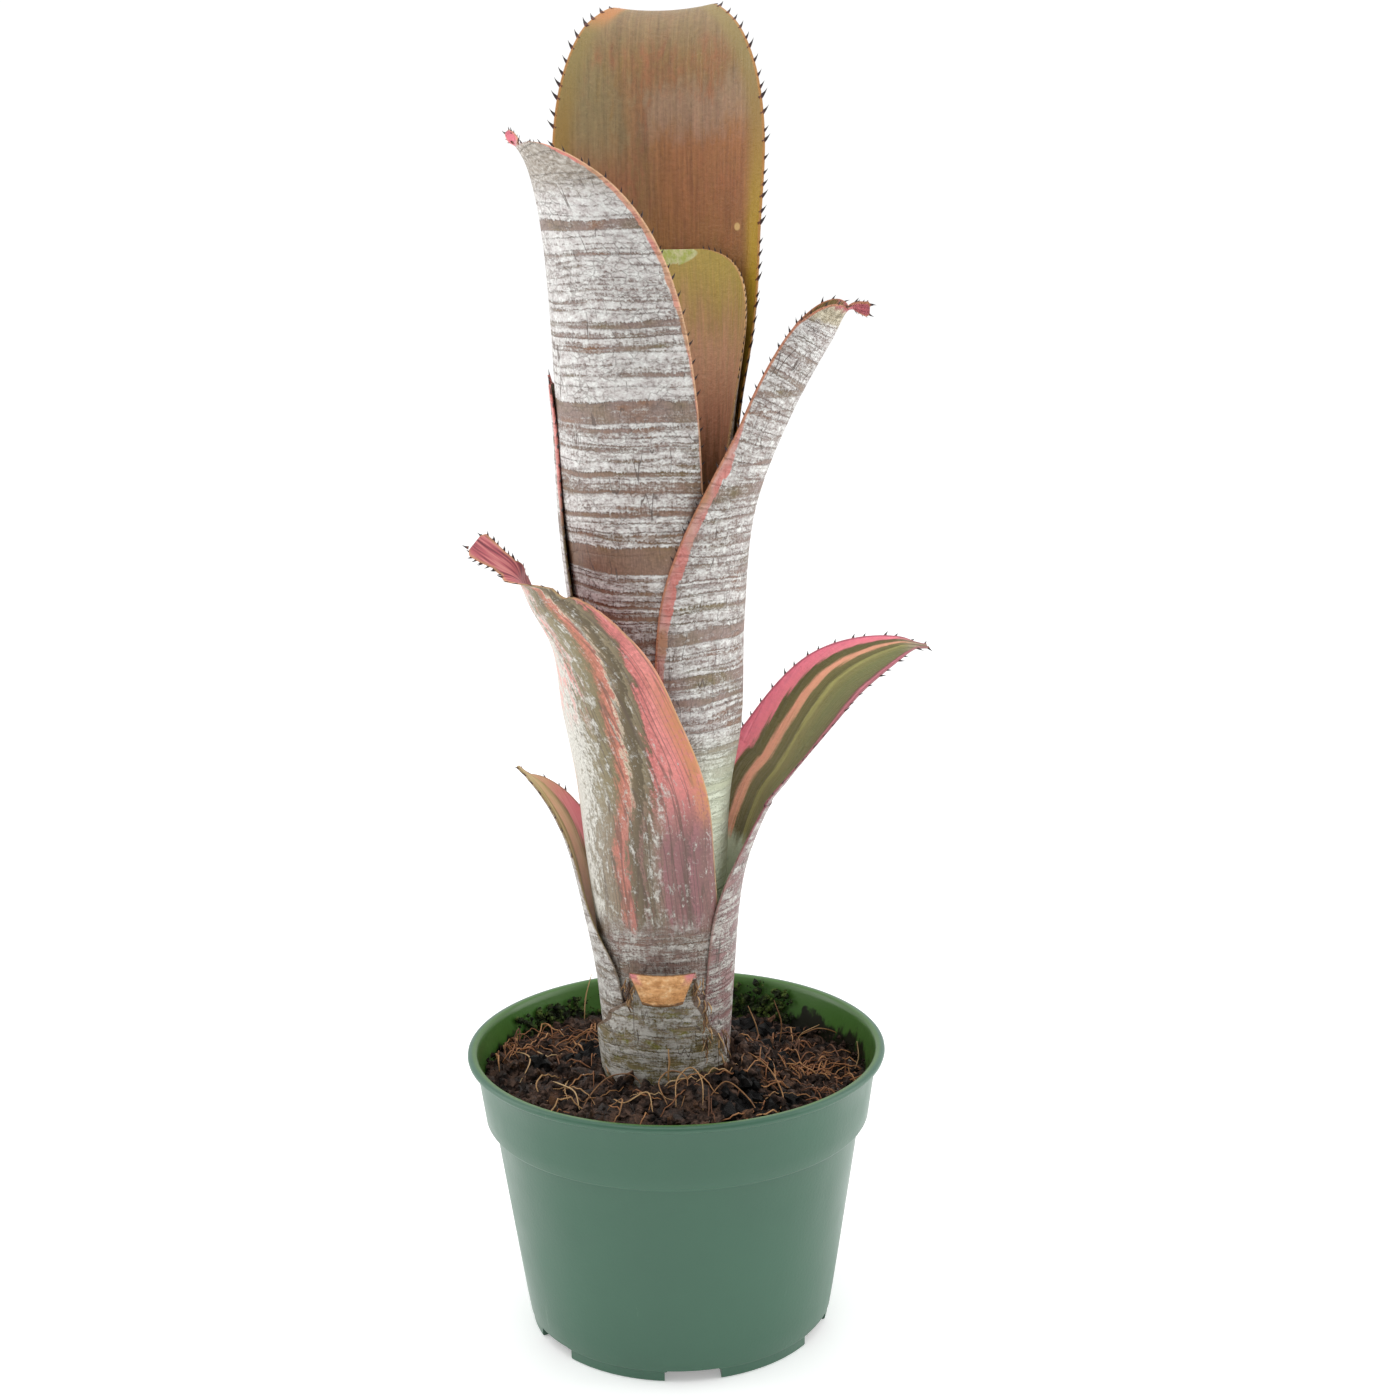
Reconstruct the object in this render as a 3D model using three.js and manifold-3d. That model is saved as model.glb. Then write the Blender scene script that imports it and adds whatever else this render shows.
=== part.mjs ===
// A billbergia in a round plastic nursery pot. Millimetres, +Z up, the table top at z = 0 and
// the pot's axis on the Z axis. Azimuths are in degrees: 0 is +X, 90 is +Y, seen from above.
import * as THREE from "three";
import { mergeVertices } from "three/addons/utils/BufferGeometryUtils.js";
import Module from "manifold-3d";

const wasm = await Module();
wasm.setup();

// The pot: a six inch azalea pot, about seven tenths as tall as it is wide.
const POT = {
  rimRadius: 76.2,
  height: 105,
  bandHeight: 25.3,
  bandTopRadius: 73.5,
  bandFootRadius: 70.3,
  bodyTopRadius: 67.2,
  bodyFootRadius: 56.3,
  footRadius: 55.3,
  footHeight: 4,
  wall: 1.4,
  lip: 1.6,
  floor: 1.6,
  floorRise: 3,
  bossRadius: 30,
  footWidth: 5,
  sides: 48,
};
const NOTCH = { count: 6, width: 20, height: 4.6, inner: 47, firstAzimuth: 275 };

// The soil, lower at the back right, with a plain hole for the plant.
const SOIL = {
  gap: 0.5,
  level: 91,
  tilt: 2.5,
  relief: 1.2,
  mound: 8.5,
  moundWidth: 14,
  hole: 25.6,
  holeFloor: 61.5,
  sides: 40,
  rings: 7,
  chips: 22,
  chipSizes: [2.2, 5],
  fibres: 16,
  fibreReach: [6, 11],
  fibreRise: [1.5, 4],
  fibreRadius: 0.45,
};

// The plant leans a little to the left up to the mouth of its tube of leaves.
const PLANT = { footX: -2.5, footZ: 100, lean: -0.014, mouth: 340 };
const LEAF = {
  thickness: 0.8,
  bottom: 75,
  freeing: 12,
  beakHalf: 2.2,
  tipHalf: 0.8,
  layerPitch: 1.25,
  outerRadius: 22.2,
  columns: 10,
  facet: 6.5,
  tubeRow: 28,
  bladeRow: 14,
  capRow: 11,
  cutRow: 2.6,
  turning: 3,
  opening: 2,
};
const SPINE = { length: 2.9, width: 1.5, thickness: 0.5, root: 0.8, pitch: 6.4, hook: 0.5 };
const CROWN = { plateRadius: 21, plateFoot: 62, plateTop: 74.6, coreRadius: 9.5, coreTop: 96 };

// Each leaf: its layer in the tube, counted from the outside; how fast that layer widens with
// height; the height to which it hugs the tube; then its midrib's way out to the tip, as
// azimuth, distance out and height. widths are half widths clockwise and anticlockwise at a
// distance along the leaf. cap is the length over which the end rounds off, and power how
// squarely. opens is the radius across the blade at its end, twist its turn about the midrib,
// and turning and opening say how late along the leaf each comes, where not as LEAF has it.
const LEAVES = {
  leaf_back_tall: {
    layer: 7, growth: 0.07, azimuth: 90, hugs: 280, opens: 90, twist: 0,
    way: [[88, 29.2, 320], [83.4, 31.2, 362], [83.7, 34, 420], [83, 36, 452], [83, 41, 466],
      [83, 49, 470], [83, 57, 465]],
    widths: [[0, 24, 26], [150, 37, 35], [270, 48, 32], [325, 41.4, 37.2]],
    cap: 68.4, power: 2.14, beak: 4, spinesFrom: 270, colour: 0x7a6238,
  },
  leaf_front_left_tall: {
    layer: 6, growth: 0.07, azimuth: 224, hugs: 270, opens: 30, twist: 0,
    way: [[224, 31.3, 305], [222, 32, 340], [214, 33.4, 372], [203, 36, 400], [195, 39.5, 416],
      [191, 42.5, 422], [188, 45.5, 427]],
    widths: [[0, 26, 26], [150, 36, 37], [230, 36, 44]],
    cap: 78, power: 3, beak: 6, spinesFrom: 290, colour: 0xa09a98,
  },
  leaf_inner: {
    layer: 8, growth: 0.069, azimuth: 66, hugs: 280, opens: 40, twist: 0,
    way: [[66, 27.4, 320], [67, 29, 360], [69, 29.6, 380], [71, 30, 392]],
    widths: [[0, 22, 22], [150, 34, 32], [240, 42, 22]],
    cap: 52, power: 2.7, beak: 3, spinesFrom: 320, colour: 0x80603a,
  },
  leaf_right_front: {
    layer: 5, growth: 0.07, azimuth: 330, hugs: 200, opens: 13, twist: 0,
    way: [[333, 29.5, 225], [336, 31.4, 262], [339, 36.2, 300], [342.4, 49.2, 332],
      [348, 63.2, 358], [348, 69.5, 368.2], [348, 75.8, 367.6]],
    widths: [[0, 26, 26], [120, 34, 34], [190, 34, 34], [255, 20.7, 25]],
    cap: 39.4, power: 3.3, beak: 7, spinesFrom: 285, colour: 0xb0aeb0,
  },
  leaf_front_variegated: {
    layer: 3, growth: 0.085, azimuth: 248, hugs: 150, opens: 30.9, twist: -21.3,
    way: [[246, 28, 176], [242, 30.7, 205], [231.3, 38.1, 233], [217.6, 41.2, 255],
      [209.6, 47.6, 270], [207.6, 52.8, 282.6], [202.8, 64.1, 293.3]],
    widths: [[0, 28, 28], [110, 33, 32], [150, 29.4, 32.4], [200, 21.8, 38.4]],
    cap: 90.8, power: 2.02, beak: 3, spinesFrom: 255, colour: 0xb08078,
  },
  leaf_right_lower: {
    layer: 2, growth: 0.085, azimuth: 24, hugs: 129.9, opens: 39.3, twist: 37.5,
    turning: 2.12, opening: 1.5,
    way: [[24, 29.5, 172], [24.4, 39.4, 196], [20.7, 45, 204.3], [23.9, 70.7, 233.8],
      [23.9, 97.6, 243.6], [23.9, 109.1, 242.5]],
    widths: [[0, 30, 28], [80, 33.8, 28], [120, 28.2, 24.3], [150, 24.4, 23.2]],
    cap: 76, power: 1.28, beak: 5, spinesFrom: 198, colour: 0x6a5a2c,
  },
  leaf_left_lower: {
    layer: 1, growth: 0.082, azimuth: 170, hugs: 132, opens: 12, twist: 0,
    way: [[170, 28.8, 152], [168, 36, 182], [167, 46, 199], [166, 54, 206]],
    widths: [[0, 28, 28], [60, 26, 26], [90, 21, 15]],
    cap: 70, power: 1.8, beak: 5, spinesFrom: 175, colour: 0x9a7a4c,
  },
  leaf_left_back: {
    layer: 4, growth: 0.068, azimuth: 150, hugs: 260, opens: 30, twist: 0,
    way: [[150, 32.6, 295], [157, 33.4, 325], [168, 34, 340], [178, 34.4, 347]],
    widths: [[0, 28, 27], [140, 32, 26.5], [200, 32, 27.5]],
    cap: 60, power: 2.2, beak: 4, spinesFrom: 270, colour: 0x8d8170,
  },
  leaf_stub: {
    layer: -0.7, growth: 0.089, azimuth: 268, hugs: 124, opens: 24, twist: 0,
    way: [[268, 28, 133], [268, 29.8, 140.3], [268, 31.8, 141.4], [268, 33.4, 137.5],
      [268, 34, 131]],
    widths: [[0, 46, 32], [22, 45, 29], [36, 37, 23], [48, 23, 16], [56, 13, 12], [66, 12, 12],
      [80, 7, 7]],
    cap: 0, power: 2, beak: 0, spinesFrom: 500, colour: 0x9a8a78,
  },
};

const degrees = (angle) => (angle * Math.PI) / 180;
const lerp = THREE.MathUtils.lerp;
const smooth = (low, high, value) => THREE.MathUtils.smoothstep(value, low, high);

// Seeded draws, the same on every run.
function randomFrom(seed) {
  let state = seed;
  return () => {
    state = (state * 1664525 + 1013904223) % 4294967296;
    return state / 4294967296;
  };
}

// A closed geometry as a solid that can be joined or cut, and back.
function toSolid(geometry) {
  const bare = geometry.clone();
  bare.deleteAttribute("normal");
  bare.deleteAttribute("uv");
  const merged = mergeVertices(bare, 1e-4);
  return new wasm.Manifold(
    new wasm.Mesh({
      numProp: 3,
      vertProperties: merged.attributes.position.array,
      triVerts: new Uint32Array(merged.index.array),
    }),
  );
}

function toGeometry(solid) {
  const mesh = solid.getMesh();
  const geometry = new THREE.BufferGeometry();
  geometry.setAttribute("position", new THREE.BufferAttribute(mesh.vertProperties, 3));
  geometry.setIndex(new THREE.BufferAttribute(mesh.triVerts, 1));
  geometry.computeVertexNormals();
  return geometry;
}

function meshOf(name, geometry, colour, roughness) {
  const material = new THREE.MeshStandardMaterial({ color: colour, roughness, metalness: 0 });
  const mesh = new THREE.Mesh(geometry, material);
  mesh.name = name;
  return mesh;
}

// Faces between closed rings of points, each ring as long as the next.
function facesBetween(rings, count) {
  const faces = [];
  for (let i = 0; i + 1 < rings.length; i += 1) {
    for (let j = 0; j < count; j += 1) {
      const next = (j + 1) % count;
      const [a, b] = [rings[i] + j, rings[i] + next];
      const [c, d] = [rings[i + 1] + next, rings[i + 1] + j];
      faces.push(a, b, c, a, c, d);
    }
  }
  return faces;
}

// The pot's wall, lip, band and floor are one moulding. Drain notches are cut in its foot.
function makePot() {
  const bandFoot = POT.height - POT.bandHeight;
  const inner = (radius) => radius - POT.wall;
  const bossEdge = POT.bossRadius + 1.5;
  const footInner = POT.footRadius - POT.footWidth;
  const profile = [
    [0, 0],
    [POT.bossRadius, 0],
    [bossEdge, POT.floorRise],
    [footInner - 1, POT.floorRise],
    [footInner, 0],
    [POT.footRadius, 0],
    [POT.footRadius, POT.footHeight],
    [POT.bodyFootRadius, POT.footHeight + 0.6],
    [POT.bodyTopRadius, bandFoot - 1.6],
    [POT.bandFootRadius, bandFoot],
    [POT.bandTopRadius, POT.height - 2.6],
    [POT.rimRadius - 0.6, POT.height - 2],
    [POT.rimRadius, POT.height - 1.2],
    [POT.rimRadius - 0.3, POT.height - 0.3],
    [POT.rimRadius - 1, POT.height],
    [POT.rimRadius - 1 - POT.lip, POT.height],
    [inner(POT.bandTopRadius), POT.height - 3],
    [inner(POT.bandFootRadius) + 0.2, bandFoot + 1.2],
    [inner(POT.bodyTopRadius), bandFoot - 2],
    [inner(POT.bodyFootRadius), POT.floorRise + POT.floor + 1],
    [inner(POT.bodyFootRadius) - 1, POT.floorRise + POT.floor],
    [bossEdge - 1, POT.floorRise + POT.floor],
    [POT.bossRadius - 1.5, POT.floor],
    [0, POT.floor],
  ].map(([radius, z]) => new THREE.Vector2(radius, z));
  const lathe = new THREE.LatheGeometry(profile, POT.sides).rotateX(Math.PI / 2);
  let pot = toSolid(lathe);
  for (let i = 0; i < NOTCH.count; i += 1) {
    const azimuth = degrees(NOTCH.firstAzimuth + (360 * i) / NOTCH.count);
    const depth = POT.rimRadius - NOTCH.inner;
    const box = new THREE.BoxGeometry(depth, NOTCH.width, NOTCH.height * 2)
      .translate(NOTCH.inner + depth / 2, 0, 0)
      .rotateZ(azimuth);
    pot = pot.subtract(toSolid(box));
  }
  return meshOf("pot", toGeometry(pot), 0x527a66, 0.45);
}

// Radius of the soil where it meets the pot, at a height.
function soilRadius(z) {
  const bandFoot = POT.height - POT.bandHeight;
  const body = lerp(
    POT.bodyFootRadius,
    POT.bodyTopRadius,
    Math.min(1, (z - POT.footHeight) / (bandFoot - POT.footHeight)),
  );
  const band = lerp(
    POT.bandFootRadius,
    POT.bandTopRadius,
    Math.max(0, (z - bandFoot) / POT.bandHeight),
  );
  return (z > bandFoot + 1.2 ? band : body) - POT.wall - SOIL.gap;
}

// Height of the soil's top: a slight tilt and low lumps from a few crossing waves.
function soilTop(x, y) {
  const waves =
    Math.sin(0.21 * x + 0.6) * Math.cos(0.17 * y - 0.4) +
    0.6 * Math.sin(0.39 * x - 0.33 * y + 1.7) +
    0.4 * Math.cos(0.55 * y + 0.47 * x);
  const slope = (SOIL.tilt * (-x - 0.4 * y)) / POT.rimRadius;
  const away = (Math.hypot(x - PLANT.footX, y) - SOIL.hole) / SOIL.moundWidth;
  const mound = SOIL.mound * (1 + (0.5 * x) / SOIL.hole) * Math.exp(-away * away);
  return SOIL.level + slope + mound + SOIL.relief * waves;
}

function soilBody() {
  const floor = POT.floorRise + POT.floor + 0.4;
  const foot = [soilRadius(floor + 2) - 1.5, floor];
  const shoulder = POT.height - POT.bandHeight - 2;
  const points = [];
  const rings = [];
  const ring = (radius, centre, height) => {
    rings.push(points.length / 3);
    for (let i = 0; i < SOIL.sides; i += 1) {
      const angle = (2 * Math.PI * i) / SOIL.sides;
      const x = centre + radius * Math.cos(angle);
      const y = radius * Math.sin(angle);
      points.push(x, y, height === null ? soilTop(x, y) : height);
    }
  };
  const edge = soilRadius(SOIL.level);
  ring(foot[0], 0, foot[1]);
  ring(soilRadius(shoulder), 0, shoulder);
  ring(soilRadius(shoulder), 0, shoulder + 3.6);
  for (let i = 0; i <= SOIL.rings; i += 1) {
    const part = i / SOIL.rings;
    ring(lerp(edge, SOIL.hole, part), PLANT.footX * part, null);
  }
  ring(SOIL.hole, PLANT.footX, SOIL.holeFloor);
  const faces = facesBetween(rings, SOIL.sides);
  const caps = [[rings[0], 0, floor], [rings[rings.length - 1], PLANT.footX, SOIL.holeFloor]];
  caps.forEach(([start, x, z], which) => {
    const centre = points.length / 3;
    points.push(x, 0, z);
    for (let i = 0; i < SOIL.sides; i += 1) {
      const next = (i + 1) % SOIL.sides;
      if (which) faces.push(start + i, start + next, centre);
      else faces.push(start + next, start + i, centre);
    }
  });
  const geometry = new THREE.BufferGeometry();
  geometry.setAttribute("position", new THREE.Float32BufferAttribute(points, 3));
  geometry.setIndex(faces);
  return geometry;
}

// A spot on the soil's top between the plant and the pot wall.
function soilSpot(random, room) {
  const angle = 2 * Math.PI * random();
  const radius = lerp(SOIL.hole + room, soilRadius(SOIL.level) - room, Math.sqrt(random()));
  return [radius * Math.cos(angle) + PLANT.footX * 0.5, radius * Math.sin(angle)];
}

// Lumps and bark chips of the potting mix, low and half sunk.
function soilChip(random) {
  const size = lerp(...SOIL.chipSizes, random() ** 2);
  const [x, y] = soilSpot(random, size + 2.5);
  return new THREE.IcosahedronGeometry(size, 0)
    .scale(1, lerp(0.5, 0.9, random()), lerp(0.35, 0.6, random()))
    .rotateX(lerp(-0.5, 0.5, random()))
    .rotateZ(2 * Math.PI * random())
    .translate(x, y, soilTop(x, y) + size * 0.05);
}

// A coir fibre: an arch whose two ends go into the soil.
function soilFibre(random) {
  const reach = lerp(...SOIL.fibreReach, random());
  const [x, y] = soilSpot(random, reach + 2.5);
  const turn = 2 * Math.PI * random();
  const rise = lerp(...SOIL.fibreRise, random());
  const bow = lerp(-3, 3, random());
  const spots = [-1, -0.5, 0, 0.5, 1].map((part) => {
    const along = part * reach;
    const aside = bow * (1 - part * part);
    const px = x + along * Math.cos(turn) - aside * Math.sin(turn);
    const py = y + along * Math.sin(turn) + aside * Math.cos(turn);
    return new THREE.Vector3(px, py, soilTop(px, py) + rise * (1 - 1.7 * part * part));
  });
  const section = new THREE.Shape();
  section.moveTo(SOIL.fibreRadius, 0);
  section.lineTo(-SOIL.fibreRadius * 0.6, SOIL.fibreRadius);
  section.lineTo(-SOIL.fibreRadius * 0.6, -SOIL.fibreRadius);
  section.closePath();
  return new THREE.ExtrudeGeometry(section, {
    steps: 6,
    bevelEnabled: false,
    extrudePath: new THREE.CatmullRomCurve3(spots),
  });
}

function makeSoil() {
  const random = randomFrom(11);
  let soil = toSolid(soilBody());
  for (let i = 0; i < SOIL.chips; i += 1) soil = soil.add(toSolid(soilChip(random)));
  for (let i = 0; i < SOIL.fibres; i += 1) soil = soil.add(toSolid(soilFibre(random)));
  const whole = soil.decompose().sort((a, b) => b.volume() - a.volume())[0];
  return meshOf("soil", toGeometry(whole), 0x2a1d15, 0.95);
}

// X of the plant's axis at a height.
function axisX(z) {
  return PLANT.footX + PLANT.lean * (Math.min(z, PLANT.mouth) - PLANT.footZ);
}

// The short stem that the leaves grow from, hidden in the soil and the leaf bases.
function makeCrown() {
  const profile = [
    [0, CROWN.plateFoot],
    [CROWN.plateRadius - 3, CROWN.plateFoot],
    [CROWN.plateRadius, CROWN.plateFoot + 3],
    [CROWN.plateRadius, CROWN.plateTop],
    [CROWN.coreRadius, CROWN.plateTop],
    [CROWN.coreRadius, CROWN.coreTop - 4],
    [CROWN.coreRadius - 4, CROWN.coreTop],
    [0, CROWN.coreTop],
  ].map(([radius, z]) => new THREE.Vector2(radius, z));
  const crown = new THREE.LatheGeometry(profile, 32).rotateX(Math.PI / 2);
  return meshOf("crown", crown.translate(axisX(CROWN.plateTop), 0, 0), 0xb9a77c, 0.8);
}

// Outer radius of a leaf's layer in the tube at a height.
function tubeRadius(leaf, z) {
  const base = LEAF.outerRadius - LEAF.layerPitch * leaf.layer;
  return base + leaf.growth * (z - LEAF.bottom);
}

function onAzimuth(azimuth, out, z) {
  const angle = degrees(azimuth);
  return new THREE.Vector3(axisX(z) + out * Math.cos(angle), out * Math.sin(angle), z);
}

// The midrib: up the tube first, then its own way out to the tip.
function midribOf(leaf) {
  const hug = 4;
  const spots = [];
  for (let i = 0; i <= hug; i += 1) {
    const z = lerp(LEAF.bottom, leaf.hugs, i / hug);
    spots.push(onAzimuth(leaf.azimuth, tubeRadius(leaf, z), z));
  }
  leaf.way.forEach(([azimuth, out, z]) => spots.push(onAzimuth(azimuth, out, z)));
  return new THREE.CatmullRomCurve3(spots);
}

// Half widths at a distance along the leaf, before its end rounds off.
function widthAt(leaf, along) {
  const rows = leaf.widths;
  let i = 0;
  while (i < rows.length - 2 && along > rows[i + 1][0]) i += 1;
  const part = smooth(rows[i][0], rows[i + 1][0], along);
  return [lerp(rows[i][1], rows[i + 1][1], part), lerp(rows[i][2], rows[i + 1][2], part)];
}

// The part of the width that is left where the end rounds off to its small beak.
function capAt(leaf, along, length) {
  if (!leaf.cap) return 1;
  const end = length - leaf.beak;
  const part = Math.min(1, Math.max(0, (along - (end - leaf.cap)) / leaf.cap));
  return (1 - part ** leaf.power) ** (1 / leaf.power);
}

// The frame of one cross section: its point on the midrib, its directions, bend and widths.
function sectionAt(leaf, midrib, length, along) {
  const u = Math.min(1, along / length);
  const point = midrib.getPointAt(u);
  const forward = midrib.getTangentAt(u);
  const angle = Math.atan2(point.y, point.x - axisX(point.z));
  const out = new THREE.Vector3(Math.cos(angle), Math.sin(angle), 0);
  const distance = out.x * (point.x - axisX(point.z)) + out.y * point.y;
  const hugging = tubeRadius(leaf, point.z);
  const free = smooth(0, LEAF.freeing, distance - hugging);
  const side = new THREE.Vector3(-out.y, out.x, 0);
  side.addScaledVector(forward, -side.dot(forward) * free).normalize();
  const inward = out.clone().negate();
  inward.lerp(new THREE.Vector3().crossVectors(forward, side), free);
  inward.addScaledVector(side, -side.dot(inward)).normalize();
  const start = leaf.hugs - LEAF.bottom;
  const parted = smooth(start, length, along);
  const turn = degrees(leaf.twist) * parted ** (leaf.turning ?? LEAF.turning);
  side.applyAxisAngle(forward, turn);
  inward.applyAxisAngle(forward, turn);
  const opening = parted ** (leaf.opening ?? LEAF.opening);
  const bend = lerp(Math.min(hugging, distance), leaf.opens, opening);
  const cap = capAt(leaf, along, length);
  const ending = smooth(length - 2 * leaf.beak, length, along);
  const beak = leaf.cap ? lerp(LEAF.beakHalf, LEAF.tipHalf, ending) : 0;
  const [less, more] = widthAt(leaf, along).map((width) => Math.hypot(width * cap, beak));
  return { point, forward, side, inward, bend, less, more };
}

// A point of the blade: across from -1 to 1, and depth in from the outer face.
function bladePoint(section, across, depth) {
  const arc = across < 0 ? across * section.less : across * section.more;
  const angle = arc / section.bend;
  const radius = section.bend - depth;
  return section.point
    .clone()
    .addScaledVector(section.inward, depth + radius * (1 - Math.cos(angle)))
    .addScaledVector(section.side, radius * Math.sin(angle));
}

// Distances along the leaf of its rows: wide apart on the tube, closer on the free blade, and
// closest where the end rounds off.
function rowsOf(leaf, length) {
  const { tubeRow, bladeRow, capRow, cutRow } = LEAF;
  const capStart = length - leaf.beak - leaf.cap;
  const parts = Math.min(leaf.hugs - LEAF.bottom, capStart);
  const rows = [];
  const spread = (from, to, pitch) => {
    const count = Math.max(1, Math.round((to - from) / pitch));
    for (let i = 0; i < count; i += 1) rows.push(lerp(from, to, i / count));
  };
  spread(0, parts, leaf.cap ? tubeRow : tubeRow / 2);
  spread(parts, capStart, leaf.cap ? bladeRow : cutRow);
  if (!leaf.cap) return [...rows, length];
  const capRows = Math.max(7, Math.round(leaf.cap / capRow));
  for (let i = 0; i < capRows; i += 1) {
    rows.push(capStart + leaf.cap * Math.sin((Math.PI / 2) * (i / capRows)));
  }
  return [...rows, length - leaf.beak, length];
}

// The bare blade: outer face, inner face and the thin walls all round.
function bladeGeometry(leaf, sections) {
  const [, less, more] = leaf.widths[0];
  const columns = Math.max(LEAF.columns, Math.ceil((less + more) / LEAF.facet));
  const around = 2 * (columns + 1);
  const points = [];
  const rings = [];
  sections.forEach((section) => {
    rings.push(points.length / 3);
    for (let j = 0; j <= columns; j += 1) {
      points.push(...bladePoint(section, (2 * j) / columns - 1, 0));
    }
    for (let j = columns; j >= 0; j -= 1) {
      points.push(...bladePoint(section, (2 * j) / columns - 1, LEAF.thickness));
    }
  });
  const faces = [];
  const quad = (a, b, c, d) => faces.push(a, b, c, a, c, d);
  for (let i = 0; i + 1 < rings.length; i += 1) {
    for (let j = 0; j < around; j += 1) {
      const next = (j + 1) % around;
      const [a, b] = [rings[i] + j, rings[i] + next];
      const [c, d] = [rings[i + 1] + next, rings[i + 1] + j];
      if (j <= columns) quad(a, b, c, d);
      else faces.push(b, c, d, b, d, a);
    }
  }
  const ends = [[rings[0], 1], [rings[rings.length - 1], 0]];
  ends.forEach(([start, flip]) => {
    for (let j = 0; j < columns; j += 1) {
      const [a, b] = [start + j, start + j + 1];
      const [c, d] = [start + around - 2 - j, start + around - 1 - j];
      if (flip) quad(d, c, b, a);
      else quad(a, b, c, d);
    }
  });
  const geometry = new THREE.BufferGeometry();
  geometry.setAttribute("position", new THREE.Float32BufferAttribute(points, 3));
  geometry.setIndex(faces);
  return geometry;
}

// One marginal spine: a slim three sided thorn that hooks towards the tip. It stands at a part
// of the way from one section's margin to the next one's.
function spineGeometry(here, next, part, sign, size) {
  const middle = LEAF.thickness / 2;
  const from = bladePoint(here, sign, middle);
  const to = bladePoint(next, sign, middle);
  const edge = from.clone().lerp(to, part);
  const along = to.sub(from).normalize();
  const across = bladePoint(here, sign, LEAF.thickness).sub(bladePoint(here, sign, 0));
  across.addScaledVector(along, -across.dot(along)).normalize();
  const outward = new THREE.Vector3().crossVectors(across, along).multiplyScalar(sign);
  const root = edge.clone().addScaledVector(outward, -SPINE.root);
  const half = SPINE.width / 2;
  const thick = SPINE.thickness / 2;
  const corners = [
    root.clone().addScaledVector(along, -half).addScaledVector(across, -thick),
    root.clone().addScaledVector(along, half).addScaledVector(across, -thick),
    root.clone().addScaledVector(across, thick),
    edge.clone().addScaledVector(outward, size).addScaledVector(along, size * SPINE.hook),
  ];
  const geometry = new THREE.BufferGeometry();
  const points = corners.flatMap((corner) => [corner.x, corner.y, corner.z]);
  geometry.setAttribute("position", new THREE.Float32BufferAttribute(points, 3));
  const faces = [0, 2, 1, 0, 1, 3, 1, 2, 3, 2, 0, 3];
  geometry.setIndex(sign < 0 ? faces : faces.reverse());
  return geometry;
}

// Spines stand on both margins from where the leaf comes free to its tip.
function spinesOf(leaf, sections, random) {
  const spines = [];
  [-1, 1].forEach((sign) => {
    let wait = 0;
    for (let i = 0; i + 1 < sections.length; i += 1) {
      const [here, next] = [sections[i], sections[i + 1]];
      const span = bladePoint(here, sign, 0).distanceTo(bladePoint(next, sign, 0));
      while (wait < span) {
        if (here.point.z > leaf.spinesFrom) {
          const size = SPINE.length * lerp(0.8, 1.1, random());
          spines.push(spineGeometry(here, next, wait / span, sign, size));
        }
        wait += SPINE.pitch * lerp(0.8, 1.2, random());
      }
      wait -= span;
    }
  });
  return spines;
}

function makeLeaf(name, leaf, seed) {
  const midrib = midribOf(leaf);
  const length = midrib.getLength();
  const sections = rowsOf(leaf, length).map((along) => sectionAt(leaf, midrib, length, along));
  let solid = toSolid(bladeGeometry(leaf, sections));
  spinesOf(leaf, sections, randomFrom(seed)).forEach((spine) => {
    solid = solid.add(toSolid(spine));
  });
  return meshOf(name, toGeometry(solid), leaf.colour, 0.6);
}

const plantInPot = new THREE.Group();
plantInPot.add(makePot(), makeSoil(), makeCrown());
Object.entries(LEAVES).forEach(([name, leaf], i) => {
  plantInPot.add(makeLeaf(name, leaf, 100 + i));
});

export default plantInPot;
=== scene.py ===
# A billbergia with a tall tube of banded, spiny leaves, potted in a round green nursery pot.
# The pieces come in the order in which the pot is filled and the plant grows. Sizes are in
# millimetres unless a name says otherwise, and meshes are stored in metres.
import math
import random
from types import SimpleNamespace

import bmesh
import bpy
import numpy as np
from mathutils import Matrix, Vector


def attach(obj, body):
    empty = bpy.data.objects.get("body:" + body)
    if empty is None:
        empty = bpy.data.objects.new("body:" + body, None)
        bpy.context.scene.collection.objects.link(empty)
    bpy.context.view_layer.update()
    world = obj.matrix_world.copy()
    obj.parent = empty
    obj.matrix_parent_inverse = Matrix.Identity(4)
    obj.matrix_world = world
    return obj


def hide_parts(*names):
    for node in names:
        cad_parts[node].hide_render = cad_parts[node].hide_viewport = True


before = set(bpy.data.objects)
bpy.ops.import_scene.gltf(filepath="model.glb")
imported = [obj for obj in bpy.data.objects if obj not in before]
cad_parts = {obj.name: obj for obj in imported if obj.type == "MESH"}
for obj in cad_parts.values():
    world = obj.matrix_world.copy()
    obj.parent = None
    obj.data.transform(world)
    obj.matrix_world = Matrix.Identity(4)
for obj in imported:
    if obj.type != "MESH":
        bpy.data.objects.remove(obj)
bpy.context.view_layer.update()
MM = 0.001

# The view: eye level a little above the rim of the pot, with a normal lens, from the front.
# The camera has a slight roll, as the picture was taken by hand.
camera_data = bpy.data.cameras.new("camera")
camera_data.lens = 51.43
camera_data.sensor_width = 36
camera_data.clip_end = 20
camera = bpy.data.objects.new("camera", camera_data)
camera.matrix_world = (
    Matrix.Translation((0.01035, -0.69082, 0.38248))
    @ Matrix.Rotation(math.radians(90 - 12.22), 4, "X")
    @ Matrix.Rotation(math.radians(-0.774), 4, "Z")
)
bpy.context.scene.collection.objects.link(camera)
bpy.context.scene.camera = camera

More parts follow.
